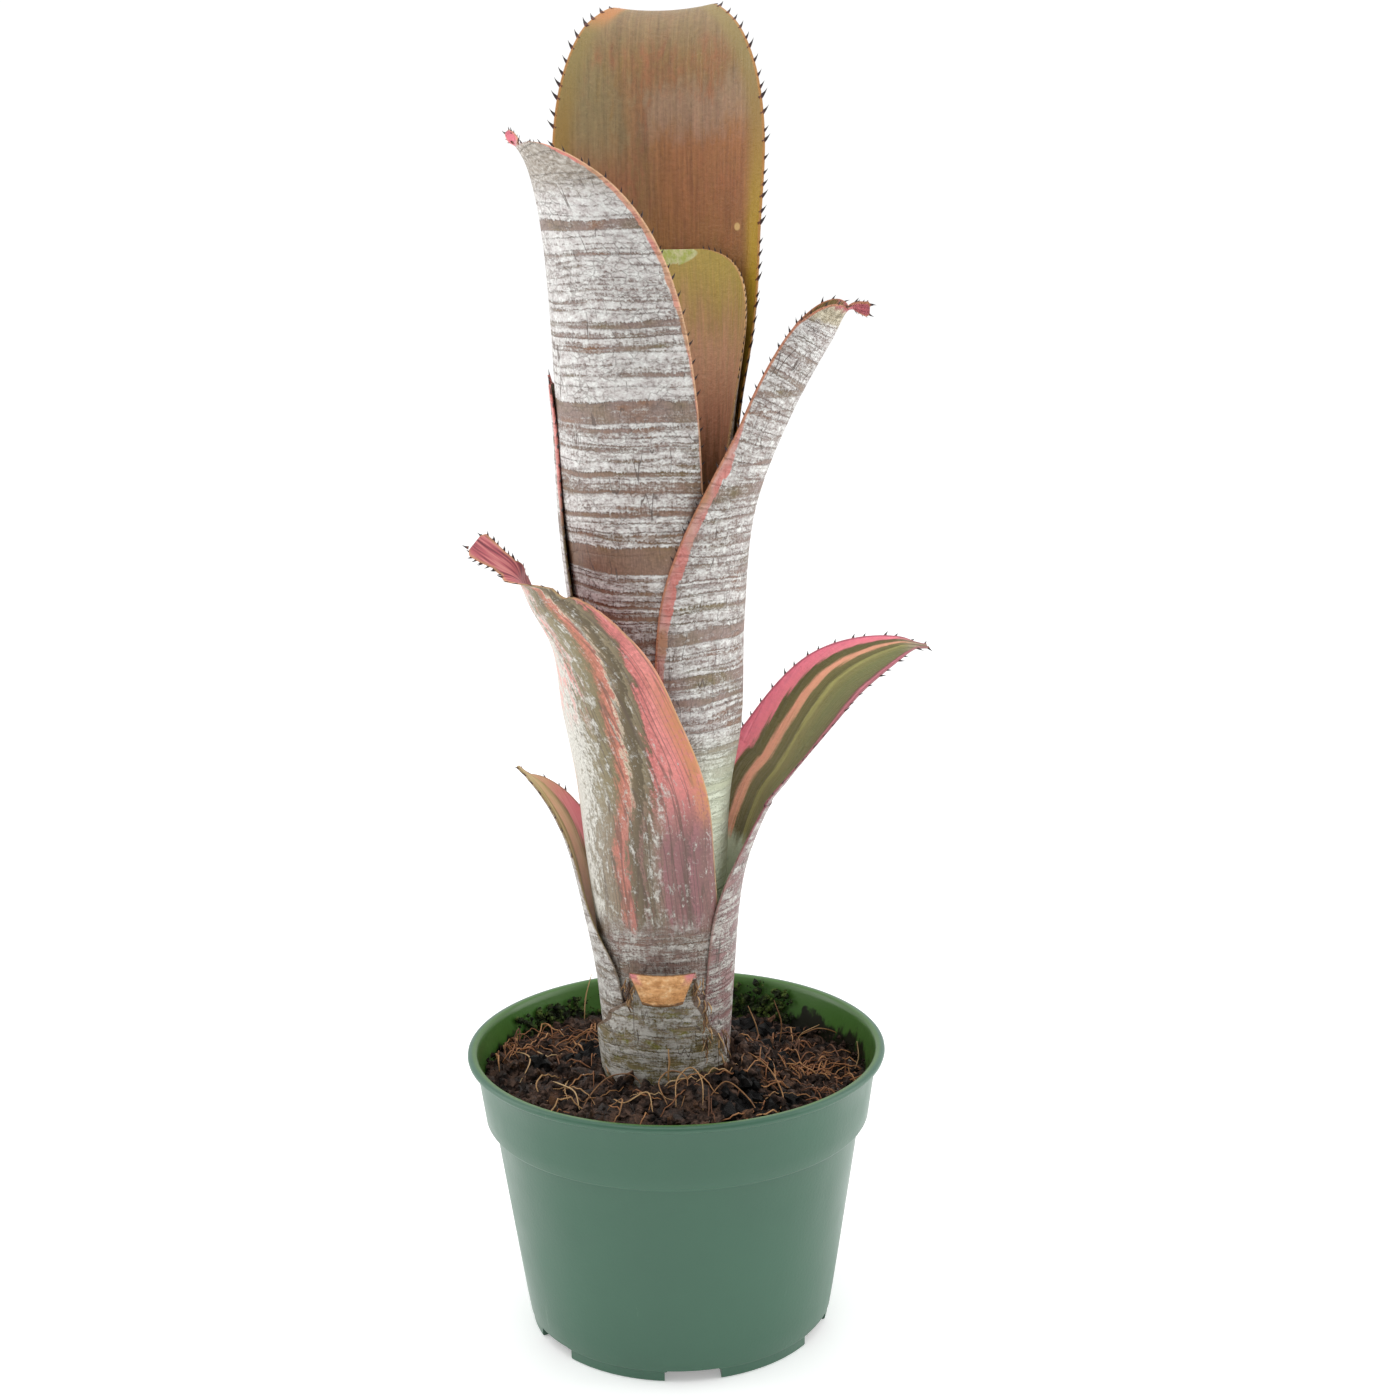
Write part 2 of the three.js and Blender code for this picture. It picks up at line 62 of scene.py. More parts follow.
# The studio: a white table and white walls, with soft light from all round. The walls behind
# the camera are darker than the rest, so the round pot gets pale edges.
bpy.context.scene.view_settings.view_transform = "Standard"
world = bpy.data.worlds.new("studio")
world.use_nodes = True
walls = world.node_tree
where = walls.nodes.new("ShaderNodeSeparateXYZ")
walls.links.new(walls.nodes.new("ShaderNodeTexCoord").outputs["Generated"], where.inputs[0])
wall_light = walls.nodes.new("ShaderNodeMapRange")
wall_light.interpolation_type = "SMOOTHSTEP"
walls.links.new(where.outputs["Y"], wall_light.inputs["Value"])
for socket, value in (("From Min", -0.9), ("From Max", 0.3), ("To Min", 0.55), ("To Max", 1.05)):
    wall_light.inputs[socket].default_value = value
walls.nodes["Background"].inputs["Color"].default_value = (1, 1, 1, 1)
walls.links.new(wall_light.outputs["Result"], walls.nodes["Background"].inputs["Strength"])
bpy.context.scene.world = world


def soft_box(name, place, target, width, height, power):
    """A rectangular lamp that faces its target, with its measures in metres."""
    light = bpy.data.lights.new(name, "AREA")
    light.shape = "RECTANGLE"
    light.size = width
    light.size_y = height
    light.energy = power
    lamp = bpy.data.objects.new(name, light)
    aim = Vector(target) - Vector(place)
    turn = aim.to_track_quat("-Z", "Y").to_matrix().to_4x4()
    lamp.matrix_world = Matrix.Translation(place) @ turn
    bpy.context.scene.collection.objects.link(lamp)


soft_box("light_left", (-0.95, 0.1, 0.6), (0, 0, 0.22), 0.7, 1.1, 4)
soft_box("light_right", (0.95, 0.1, 0.6), (0, 0, 0.22), 0.7, 1.1, 4.5)
soft_box("light_above", (-0.1, -0.3, 1.3), (0, 0, 0.2), 0.8, 0.8, 2.5)


def paint(red, green, blue):
    """A colour as it looks on a screen, 0 to 255, turned to the linear values that shaders use."""
    linear = []
    for value in (red, green, blue):
        part = value / 255
        linear.append(part / 12.92 if part <= 0.04045 else ((part + 0.055) / 1.055) ** 2.4)
    return (*linear, 1.0)


def new_surface(name, roughness):
    """A new material with its shader; sockets of the shader are set by name."""
    material = bpy.data.materials.new(name)
    material.use_nodes = True
    tree = material.node_tree
    shader = tree.nodes["Principled BSDF"]
    shader.inputs["Roughness"].default_value = roughness
    return material, tree, shader


def feed(socket, value):
    """Gives a socket a fixed value, or links it to another socket."""
    if isinstance(value, bpy.types.NodeSocket):
        socket.id_data.links.new(value, socket)
    else:
        socket.default_value = value


def node_beside(kind, *values):
    """A new node in the tree that the values come from. At least one value is a socket."""
    owner = next(value for value in values if isinstance(value, bpy.types.NodeSocket))
    return owner.id_data.nodes.new(kind)


def maths(operation, *values):
    node = node_beside("ShaderNodeMath", *values)
    node.operation = operation
    for socket, value in zip(node.inputs, values):
        feed(socket, value)
    return node.outputs[0]


def plus(first, second):
    return maths("ADD", first, second)


def minus(first, second):
    return maths("SUBTRACT", first, second)


def times(first, *others):
    for other in others:
        first = maths("MULTIPLY", first, other)
    return first


def scaled(value, factor, offset):
    """The value times a factor, plus an offset."""
    return maths("MULTIPLY_ADD", value, factor, offset)


def swayed(value, cloud, reach):
    """The value moved up and down by a cloud, whose middle is one half."""
    return scaled(minus(cloud, 0.5), reach, value)


def away_from(value, middle):
    """How far a value lies from the middle, to either side."""
    return maths("ABSOLUTE", minus(value, middle))


def noise(vector, scale, detail=2.0, roughness=0.5):
    """A cloud of values round one half; a larger scale makes it finer."""
    node = node_beside("ShaderNodeTexNoise", vector)
    feed(node.inputs["Vector"], vector)
    node.inputs["Scale"].default_value = scale
    node.inputs["Detail"].default_value = detail
    node.inputs["Roughness"].default_value = roughness
    return node.outputs["Fac"]


def stretched(vector, scale, shift=(0, 0, 0)):
    node = node_beside("ShaderNodeMapping", vector)
    feed(node.inputs["Vector"], vector)
    node.inputs["Scale"].default_value = scale
    node.inputs["Location"].default_value = shift
    return node.outputs["Vector"]


def grade(value, low, high, to_low=0.0, to_high=1.0):
    """A smooth step of value from low to high; low may be the larger."""
    node = node_beside("ShaderNodeMapRange", value)
    node.interpolation_type = "SMOOTHSTEP"
    feed(node.inputs["Value"], value)
    if low > high:
        low, high, to_low, to_high = high, low, to_high, to_low
    node.inputs["From Min"].default_value = low
    node.inputs["From Max"].default_value = high
    node.inputs["To Min"].default_value = to_low
    node.inputs["To Max"].default_value = to_high
    return node.outputs["Result"]


def blend(factor, first, second, mode="MIX"):
    node = node_beside("ShaderNodeMix", factor, first, second)
    node.data_type = "RGBA"
    node.blend_type = mode
    node.clamp_factor = True
    feed(node.inputs["Factor"], factor)
    feed(node.inputs[6], first)
    feed(node.inputs[7], second)
    return node.outputs[2]


def ramp(value, stops):
    """A colour for every value. A stop is its position and a colour, either as three numbers
    for paint or as one tuple of linear ones."""
    node = node_beside("ShaderNodeValToRGB", value)
    elements = node.color_ramp.elements
    while len(elements) < len(stops):
        elements.new(0.5)
    for element, (position, *colour) in zip(elements, stops):
        element.position = position
        element.color = paint(*colour) if len(colour) == 3 else colour[0]
    feed(node.inputs["Fac"], value)
    return node.outputs["Color"]


def bump(shader, height, distance):
    node = node_beside("ShaderNodeBump", height)
    node.inputs["Distance"].default_value = distance
    feed(node.inputs["Height"], height)
    feed(shader.inputs["Normal"], node.outputs["Normal"])


def own_place(tree):
    """The point on the piece, in metres in the shared frame."""
    return tree.nodes.new("ShaderNodeTexCoord").outputs["Object"]


def named(tree, name, output="Fac"):
    node = tree.nodes.new("ShaderNodeAttribute")
    node.attribute_name = name
    return node.outputs[output]


def new_piece(name, points, faces, material, smooth=True):
    """A mesh object at the origin, made of points in metres."""
    mesh = bpy.data.meshes.new(name)
    mesh.from_pydata([tuple(point) for point in points], [], [tuple(face) for face in faces])
    mesh.materials.append(material)
    mesh.validate()
    if smooth:
        mesh.shade_smooth()
    piece = bpy.data.objects.new(name, mesh)
    bpy.context.scene.collection.objects.link(piece)
    return piece


table_top, table_tree, table_shader = new_surface("table_white", 0.6)
table_grain = noise(own_place(table_tree), 9.0, 3)
feed(
    table_shader.inputs["Base Color"],
    ramp(table_grain, [(0.3, (0.9, 0.9, 0.9, 1)), (0.7, (0.93, 0.93, 0.93, 1))]),
)
table_shader.inputs["Emission Color"].default_value = (1, 1, 1, 1)
table_shader.inputs["Emission Strength"].default_value = 0.3
floor = new_piece(
    "table", [(-3, -2, 0), (3, -2, 0), (3, 4, 0), (-3, 4, 0)], [(0, 1, 2, 3)], table_top, False
)

# The pot: a six inch azalea pot moulded from thin green polypropylene, with a band and a rolled
# lip at the top and drain notches in its foot. Its walls are satin outside, and inside they
# are a brighter green with smears of wet soil and algae.
POT_SIDES = 192
POT_RADIUS = 76.2
POT_OUTSIDE = [
    (0, 0), (15, 0), (29.2, 0), (30.3, 0.4), (31.2, 2.2), (31.9, 3), (40, 3), (48.7, 3),
    (49.6, 2.4), (50.3, 0.5), (50.9, 0), (54.6, 0), (55.2, 0.3), (55.4, 0.9), (55.4, 3.6),
    (55.6, 4.0), (56.1, 4.3), (56.35, 4.9), (57.6, 12.7), (60, 29), (62.6, 47), (65.2, 65),
    (66.9, 77.6), (67.15, 78.4), (67.7, 78.9), (69.2, 79.2), (69.9, 79.5), (70.25, 80.1),
    (70.9, 85), (72, 93), (73.2, 101), (73.6, 101.9), (74.6, 102.3), (75.5, 102.6),
    (76.05, 103.1), (76.2, 103.7), (76.1, 104.3), (75.7, 104.75), (75.1, 104.98),
]
POT_INSIDE = [
    (73.9, 105), (73.2, 104.75), (72.7, 104.2), (72.3, 102.6), (71.6, 98), (70.4, 90),
    (69.2, 81.6), (68.8, 80.6), (66, 78.6), (65.6, 77.4), (63.6, 64), (61.2, 47), (58.6, 29),
    (56.3, 13), (54.9, 5.6), (54.2, 4.8), (53.3, 4.6), (40, 4.6), (30.4, 4.6), (29.4, 4.1),
    (28.7, 2.2), (27.8, 1.6), (14, 1.6), (0, 1.6),
]


def turned(profile, sides):
    """Points and faces of a closed body turned about +Z. The profile runs from the axis below,
    round the outside, to the axis above."""
    inner = profile[1:-1]
    points = [(0, 0, profile[0][1] * MM)]
    for radius, height in inner:
        for i in range(sides):
            angle = 2 * math.pi * i / sides
            x, y = radius * MM * math.cos(angle), radius * MM * math.sin(angle)
            points.append((x, y, height * MM))
    points.append((0, 0, profile[-1][1] * MM))
    last = len(points) - 1
    faces = []
    for i in range(sides):
        following = (i + 1) % sides
        faces.append((0, 1 + following, 1 + i))
        for k in range(len(inner) - 1):
            low, high = 1 + k * sides, 1 + (k + 1) * sides
            faces.append((low + i, low + following, high + following, high + i))
        top = 1 + (len(inner) - 1) * sides
        faces.append((top + i, top + following, last))
    return points, faces


def object_of(name, shape):
    """An object with the mesh of a finished bmesh."""
    mesh = bpy.data.meshes.new(name)
    shape.to_mesh(mesh)
    shape.free()
    return bpy.data.objects.new(name, mesh)


def carry(mesh, label, values):
    """Stores a number or a vector for every point of a mesh, under a name."""
    values = np.array(values, np.float32)
    kind, field = ("FLOAT_VECTOR", "vector") if values.ndim == 2 else ("FLOAT", "value")
    mesh.attributes.new(label, kind, "POINT").data.foreach_set(field, values.reshape(-1))


NOTCH_COUNT = 6
NOTCH_SIZE = (30 * MM, 20 * MM, 9.2 * MM)
NOTCH_ROUNDING = 0.9 * MM
NOTCH_MIDDLE = 62 * MM
FIRST_NOTCH_TURN = 275


def notch_cutter(azimuth):
    """A box with a rounded top that cuts one drain notch from the foot."""
    shape = bmesh.new()
    bmesh.ops.create_cube(shape, size=1.0)
    bmesh.ops.scale(shape, vec=NOTCH_SIZE, verts=shape.verts)
    upper = [
        edge for edge in shape.edges
        if all(vertex.co.z > 0 for vertex in edge.verts)
        and abs(edge.verts[0].co.y - edge.verts[1].co.y) < 1e-6
    ]
    bmesh.ops.bevel(shape, geom=upper, offset=NOTCH_ROUNDING, segments=3, affect="EDGES")
    bmesh.ops.translate(shape, vec=(NOTCH_MIDDLE, 0, 0), verts=shape.verts)
    turn = Matrix.Rotation(math.radians(azimuth), 3, "Z")
    bmesh.ops.rotate(shape, matrix=turn, verts=shape.verts)
    cutter = object_of("notch", shape)
    bpy.context.scene.collection.objects.link(cutter)
    return cutter


def settled(piece):
    """The piece with its modifiers applied, and a plain mesh."""
    depsgraph = bpy.context.evaluated_depsgraph_get()
    mesh = bpy.data.meshes.new_from_object(piece.evaluated_get(depsgraph))
    piece.modifiers.clear()
    piece.data = mesh
    return piece


def pot_plastic():
    material, tree, shader = new_surface("pot_green_plastic", 0.36)
    place = own_place(tree)
    cloud = noise(place, 22, 3, 0.55)
    outside = ramp(cloud, [(0.3, 54, 94, 74), (0.7, 58, 99, 78)])
    scuff_cloud = noise(stretched(place, (60, 60, 14)), 3.0, 4, 0.7)
    scuffs = grade(scuff_cloud, 0.68, 0.76, 0.0, 0.25)
    outside = blend(scuffs, outside, paint(128, 150, 130))
    inside = ramp(cloud, [(0.3, 64, 106, 40), (0.7, 74, 116, 50)])
    height = tree.nodes.new("ShaderNodeSeparateXYZ")
    feed(height.inputs[0], place)
    smear_cloud = noise(stretched(place, (1, 1, 0.6)), 95, 4, 0.65)
    wet = plus(smear_cloud, grade(height.outputs["Z"], 0.088, 0.103, 0.24, -0.1))
    inside = blend(grade(wet, 0.55, 0.66), inside, paint(24, 26, 12))
    inner_wall = named(tree, "inside")
    colour = blend(inner_wall, outside, inside)
    feed(shader.inputs["Base Color"], colour)
    feed(shader.inputs["Roughness"], grade(cloud, 0.3, 0.7, 0.3, 0.42))
    ripple = noise(stretched(place, (1, 1, 0.35)), 34, 2)
    fine = noise(place, 900, 2)
    bump(shader, plus(ripple, times(fine, 0.08)), 0.0006)
    return material


pot_points, pot_faces = turned(POT_OUTSIDE + POT_INSIDE, POT_SIDES)
pot = new_piece("pot_shell", pot_points, pot_faces, pot_plastic())
notches = [notch_cutter(FIRST_NOTCH_TURN + 360 / NOTCH_COUNT * i) for i in range(NOTCH_COUNT)]
for notch in notches:
    cut = pot.modifiers.new("cut", "BOOLEAN")
    cut.operation = "DIFFERENCE"
    cut.object = notch
    cut.solver = "EXACT"
settled(pot)
for notch in notches:
    bpy.data.objects.remove(notch)
pot.data.shade_smooth()
pot.data.set_sharp_from_angle(angle=math.radians(38))
WALL_MIDDLE = [(4.6, 54.6), (29, 59), (78, 66.1), (80, 69.2), (104.8, 73.3), (105, 74.4)]
on_inside = []
for vertex in pot.data.vertices:
    height = vertex.co.z / MM
    wall = np.interp(height, *zip(*WALL_MIDDLE))
    reach = math.hypot(vertex.co.x, vertex.co.y) / MM
    on_inside.append(float(height > 1.2 and reach < wall + 0.4))
carry(pot.data, "inside", on_inside)
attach(pot, "root")
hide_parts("pot")

# The potting mix: dark damp bark and peat, lumpy, heaped a little round the plant and lower
# at the back right. A plain hole holds the bases of the leaves.
FOOT_X = -2.5
SOIL_HOLE = 25.3
SOIL_EDGE = 70.2
SOIL_LEVEL = 91
SOIL_SLOPE = 2.5
HEAP_HEIGHT = 8.5
HEAP_WIDTH = 14
HOLE_BOTTOM = 61.6
SOIL_LUMPS = [(3, 26, 1.1), (4, 9, 0.9), (5, 3.6, 0.5)]


def soil_height(x, y):
    """The soil's top at a place, in millimetres, without its lumps."""
    slope = SOIL_SLOPE * (-x - 0.4 * y) / POT_RADIUS
    away = (np.hypot(x - FOOT_X, y) - SOIL_HOLE) / HEAP_WIDTH
    heap = HEAP_HEIGHT * (1 + 0.5 * x / SOIL_HOLE) * np.exp(-away * away)
    return SOIL_LEVEL + slope + heap


WAVE_COUNT = 9


def crossing_waves(x, y, seed, pitch):
    """Smooth lumps of about one pitch, as a sum of crossing waves between -1 and 1."""
    draw = random.Random(seed)
    total = 0
    for _ in range(WAVE_COUNT):
        turn = draw.uniform(0, math.tau)
        length = pitch * draw.uniform(0.7, 1.6)
        wave = (x * math.cos(turn) + y * math.sin(turn)) * math.tau / length
        total = total + np.sin(wave + draw.uniform(0, math.tau))
    return total / math.sqrt(WAVE_COUNT)


def soil_surface(x, y):
    near_wall = np.clip((SOIL_EDGE - np.hypot(x, y)) / 4, 0, 1)
    lumps = sum(rise * crossing_waves(x, y, seed, pitch) for seed, pitch, rise in SOIL_LUMPS)
    return soil_height(x, y) + lumps * (0.35 + 0.65 * near_wall)


def ring_faces(rings, sides, start=0, closed=True):
    """The faces between rings, or rows, of points that follow each other in a list."""
    faces = []
    for low in range(start, start + (rings - 1) * sides, sides):
        high = low + sides
        for i in range(sides if closed else sides - 1):
            j = (i + 1) % sides
            faces.append((low + i, low + j, high + j, high + i))
    return faces


def closed_rings(rings, sides, start=0):
    """The faces of a body made of rings, with a flat face at both ends."""
    last = start + (rings - 1) * sides
    ends = [tuple(reversed(range(start, start + sides))), tuple(range(last, last + sides))]
    return ring_faces(rings, sides, start) + ends


def soil_mix():
    material, tree, shader = new_surface("soil_mix", 0.9)
    place = own_place(tree)
    coarse = noise(place, 130, 4, 0.65)
    fine = noise(place, 700, 3, 0.6)
    total = scaled(fine, 0.5, times(coarse, 0.7))
    colour = ramp(
        total,
        [(0.4, 16, 11, 8), (0.55, 44, 31, 24), (0.68, 84, 60, 46), (0.8, 110, 82, 62)],
    )
    feed(shader.inputs["Base Color"], colour)
    feed(shader.inputs["Roughness"], grade(coarse, 0.35, 0.6, 0.55, 0.95))
    bump(shader, total, 0.0025)
    return material


SOIL_RINGS = 72
SOIL_SIDES = 280
soil_brown = soil_mix()
ring_radii = np.linspace(SOIL_EDGE, SOIL_HOLE, SOIL_RINGS)
ring_turns = np.arange(SOIL_SIDES) * math.tau / SOIL_SIDES
soil_points = []
for radius, height in ((53.2, 5.2), (65.3, 77.0), (SOIL_EDGE - 2.8, 82.0)):
    for turn in ring_turns:
        soil_points.append((radius * math.cos(turn), radius * math.sin(turn), height))
for k, radius in enumerate(ring_radii):
    centre = FOOT_X * k / (SOIL_RINGS - 1)
    xs = centre + radius * np.cos(ring_turns)
    ys = radius * np.sin(ring_turns)
    soil_points.extend(zip(xs, ys, soil_surface(xs, ys)))
for radius in (SOIL_HOLE, 1.0):
    for turn in ring_turns:
        soil_points.append((FOOT_X + radius * math.cos(turn), radius * math.sin(turn), HOLE_BOTTOM))
soil_faces = closed_rings(len(soil_points) // SOIL_SIDES, SOIL_SIDES)
soil = new_piece("soil_bed", np.array(soil_points) * MM, soil_faces, soil_brown)
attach(soil, "root")
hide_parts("soil")

# Crumbs in the potting mix: bark, peat and white perlite in many sizes, loose on its surface,
# and dark moss and crumbs that stick to the wall of the pot at the back.
def crumb_shape(name, seed, flat):
    """One rough crumb of about one unit, as a hidden object that is copied many times."""
    shape = bmesh.new()
    bmesh.ops.create_icosphere(shape, subdivisions=2, radius=1.0)
    for vertex in shape.verts:
        x, y, z = vertex.co
        swell = 1 + 0.3 * math.sin(3.1 * x + seed) + 0.28 * math.sin(4.3 * y + 2 * seed)
        swell += 0.2 * math.sin(7.2 * z + x)
        vertex.co = (x * swell, y * swell * (1 + flat) / 2, z * swell * flat)
    return object_of(name, shape)


def growing_group(name, inputs):
    """A geometry node group with more inputs, each with its name and its kind."""
    group = bpy.data.node_groups.new(name, "GeometryNodeTree")
    for label, kind in (("Geometry", "Geometry"), *inputs):
        group.interface.new_socket(label, in_out="INPUT", socket_type="NodeSocket" + kind)
    group.interface.new_socket("Geometry", in_out="OUTPUT", socket_type="NodeSocketGeometry")
    return group


def stored(tree, label, kind):
    """What carry has stored on the points under a name."""
    node = tree.nodes.new("GeometryNodeInputNamedAttribute")
    node.data_type = kind
    node.inputs["Name"].default_value = label
    return node.outputs[0]


def chance(seed, low=0.0, high=1.0):
    """A number between two others, drawn anew for every copy."""
    node = node_beside("FunctionNodeRandomValue", seed)
    node.data_type = "FLOAT"
    node.inputs[2].default_value = low
    node.inputs[3].default_value = high
    feed(node.inputs["Seed"], seed)
    return node.outputs[1]


def set_copies(points, shape, turn, size, material):
    """The end of a group: painted copies of a shape on its points."""
    new = points.id_data.nodes.new
    placed, real = new("GeometryNodeInstanceOnPoints"), new("GeometryNodeRealizeInstances")
    painted, result = new("GeometryNodeSetMaterial"), new("NodeGroupOutput")
    feed(placed.inputs["Points"], points)
    feed(placed.inputs["Instance"], shape)
    feed(placed.inputs["Rotation"], turn)
    feed(placed.inputs["Scale"], size)
    feed(real.inputs["Geometry"], placed.outputs["Instances"])
    feed(painted.inputs["Geometry"], real.outputs["Geometry"])
    feed(painted.inputs["Material"], material)
    feed(result.inputs["Geometry"], painted.outputs["Geometry"])


def grown(name, mesh, group, settings):
    """A piece of plain mesh that a node group grows on another mesh."""
    piece = bpy.data.objects.new(name, mesh)
    bpy.context.scene.collection.objects.link(piece)
    growth = piece.modifiers.new("growth", "NODES")
    growth.node_group = group
    for item in group.interface.items_tree:
        if item.in_out == "INPUT" and item.name in settings:
            growth[item.identifier] = settings[item.name]
    return settled(piece)


def scatter_tree():
    """Strews copies of one shape over a sheet, turned and sized at random. The sheet's own
    attribute share says how thickly they lie at each place."""
    tree = growing_group(
        "strewn_on_sheet",
        [("Shape", "Object"), ("Material", "Material"), ("Density", "Float"), ("Small", "Float"),
         ("Large", "Float"), ("Seed", "Int")],
    )
    new = tree.nodes.new
    given = new("NodeGroupInput").outputs
    spread = new("GeometryNodeDistributePointsOnFaces")
    feed(spread.inputs["Mesh"], given["Geometry"])
    feed(spread.inputs["Density"], times(stored(tree, "share", "FLOAT"), given["Density"]))
    feed(spread.inputs["Seed"], given["Seed"])
    turn = new("FunctionNodeRandomValue")
    turn.data_type = "FLOAT_VECTOR"
    turn.inputs[1].default_value = (math.tau, math.tau, math.tau)
    feed(turn.inputs["Seed"], given["Seed"])
    angles = new("FunctionNodeEulerToRotation")
    feed(angles.inputs[0], turn.outputs[0])
    mostly_small = maths("POWER", chance(given["Seed"]), 2.6)
    size = new("ShaderNodeMapRange")
    feed(size.inputs["Value"], mostly_small)
    feed(size.inputs["To Min"], given["Small"])
    feed(size.inputs["To Max"], given["Large"])
    shape = new("GeometryNodeObjectInfo")
    feed(shape.inputs["Object"], given["Shape"])
    set_copies(
        spread.outputs["Points"], shape.outputs["Geometry"], angles.outputs[0], size.outputs[0],
        given["Material"],
    )
    return tree


strewn_on_sheet = scatter_tree()


PER_SQUARE_CENTIMETRE = 10000.0


def strew(name, sheet, shape, material, density, small, large, seed):
    """A piece made of copies strewn over a sheet; density is a number per square centimetre."""
    points, rows, share = sheet
    mesh = bpy.data.meshes.new(name)
    faces = ring_faces(rows, len(points) // rows, closed=False)
    mesh.from_pydata([tuple(point) for point in points * MM], [], faces)
    carry(mesh, "share", share)
    settings = {
        "Shape": shape, "Material": material, "Density": density * PER_SQUARE_CENTIMETRE,
        "Small": small * MM, "Large": large * MM, "Seed": seed,
    }
    piece = grown(name, mesh, strewn_on_sheet, settings)
    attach(piece, "root")


def soil_top(share, margin=2.2):
    """The top of the potting mix as a sheet of points, with a share for every place. The
    margin keeps the crumbs clear of the wall of the pot."""
    radii = np.linspace(SOIL_EDGE - margin, SOIL_HOLE + 0.5, 26)
    turns = np.linspace(0, math.tau, 121)
    radius, turn = np.meshgrid(radii, turns, indexing="ij")
    shift = FOOT_X * (SOIL_EDGE - radius) / (SOIL_EDGE - SOIL_HOLE)
    x, y = shift + radius * np.cos(turn), radius * np.sin(turn)
    points = np.stack([x, y, soil_surface(x, y)], axis=-1).reshape(-1, 3)
    return points, len(radii), share(x, y).reshape(-1)


def wall_at_back(turn_from, turn_to, rise):
    """A strip of the pot's inner wall just above the soil, where moss and crumbs stick."""
    turns = np.radians(np.linspace(turn_from, turn_to, 40))
    steps = np.linspace(0, 1, 8)
    step, turn = np.meshgrid(steps, turns, indexing="ij")
    foot = soil_surface(SOIL_EDGE * np.cos(turn), SOIL_EDGE * np.sin(turn)) - 1
    height = foot + rise * step
    radius = np.interp(height, [82, 90, 98, 102], [68.2, 69.2, 70.3, 70.9])
    points = np.stack([radius * np.cos(turn), radius * np.sin(turn), height], axis=-1)
    swell = np.sin(math.pi * (turn - turns[0]) / (turns[-1] - turns[0]))
    share = np.clip(swell * (1.1 - step) + 0.3 * np.sin(9 * turn * 3) * (1 - step), 0, 1.2)
    return points.reshape(-1, 3), len(steps), share.reshape(-1)


def crumb_skin(name, dark, middle, light, roughness, shine=0.3):
    material, tree, shader = new_surface(name, roughness)
    shader.inputs["Specular IOR Level"].default_value = shine
    place = own_place(tree)
    cloud = noise(place, 260, 3, 0.6)
    feed(
        shader.inputs["Base Color"],
        ramp(cloud, [(0.36, *dark), (0.5, *middle), (0.64, *light)]),
    )
    bump(shader, noise(place, 1300, 3, 0.7), 0.0006)
    return material


crumb, chip = crumb_shape("crumb", 1, 0.8), crumb_shape("chip", 4, 0.3)
peat = crumb_skin("peat_crumbs", (18, 13, 11), (52, 39, 33), (96, 75, 64), 0.85, 0.2)
bark = crumb_skin("bark_chips", (30, 20, 14), (72, 50, 36), (118, 84, 60), 0.7)
black = crumb_skin("wet_black_lumps", (6, 6, 6), (13, 12, 12), (26, 23, 22), 0.45, 0.12)
white = crumb_skin("perlite_white", (196, 190, 178), (222, 218, 208), (240, 238, 230), 0.8)
moss = crumb_skin("moss_green", (18, 24, 10), (38, 50, 18), (84, 104, 42), 0.85)


def near(x, y, spots):
    """How near a place is to any of some spots, each with its reach."""
    total = np.zeros_like(x)
    for spot_x, spot_y, reach in spots:
        total = np.maximum(total, np.exp(-((x - spot_x) ** 2 + (y - spot_y) ** 2) / reach**2))
    return total


bark_spots = [(45, 0, 26)]
black_spots = [(33, 13, 9), (30, -27, 11), (-33, 13, 6), (40, 50, 14), (22, -22, 5), (-45, 8, 5)]
all_over = soil_top(lambda x, y: np.ones_like(x))
bark_places = soil_top(lambda x, y: 0.4 + near(x, y, bark_spots), 3.5)
black_places = soil_top(lambda x, y: near(x, y, black_spots), 5)
strew("soil_crumbs", all_over, crumb, peat, 15, 0.5, 3.0, 21)
strew("soil_bark", bark_places, chip, bark, 3, 0.8, 4.2, 22)
strew("soil_black_lumps", black_places, crumb, black, 10, 1.2, 4.8, 23)
strew("soil_perlite", all_over, crumb, white, 0.42, 0.3, 1.0, 24)
strew("moss_left", wall_at_back(110, 152, 11), crumb, moss, 84, 0.3, 1.6, 25)
strew("moss_right", wall_at_back(47, 77, 16), crumb, moss, 92, 0.3, 1.7, 26)
strew("crumbs_right_wall", wall_at_back(2, 44, 6), crumb, peat, 40, 0.3, 1.5, 27)
strew("crumbs_left_wall", wall_at_back(150, 186, 5), crumb, peat, 36, 0.3, 1.3, 28)

# Fibres and roots: orange brown coir that lies in tangles, mostly at the right and at the left
# of the plant, pale curly rootlets in front of it, and a few thin stems that stand up.
def smooth_curve(knots, steps=60):
    """Points of a centripetal curve through the knots."""
    ends = [2 * knots[0] - knots[1], *knots, 2 * knots[-1] - knots[-2]]
    points = []
    for i in range(1, len(ends) - 2):
        before, start, end, after = ends[i - 1 : i + 3]
        first, middle, last = (
            max(np.linalg.norm(b - a), 1e-4) ** 0.5
            for a, b in ((before, start), (start, end), (end, after))
        )
        leave = (start - before) / first - (end - before) / (first + middle)
        leave = leave + (end - start) / middle
        arrive = (end - start) / middle - (after - start) / (middle + last) + (after - end) / last
        leave, arrive = leave * middle, arrive * middle
        count = steps if i < len(ends) - 3 else steps + 1
        for part in np.arange(count) / steps:
            points.append(
                start
                + leave * part
                + (-3 * start + 3 * end - 2 * leave - arrive) * part**2
                + (2 * start - 2 * end + leave + arrive) * part**3
            )
    return np.array(points)


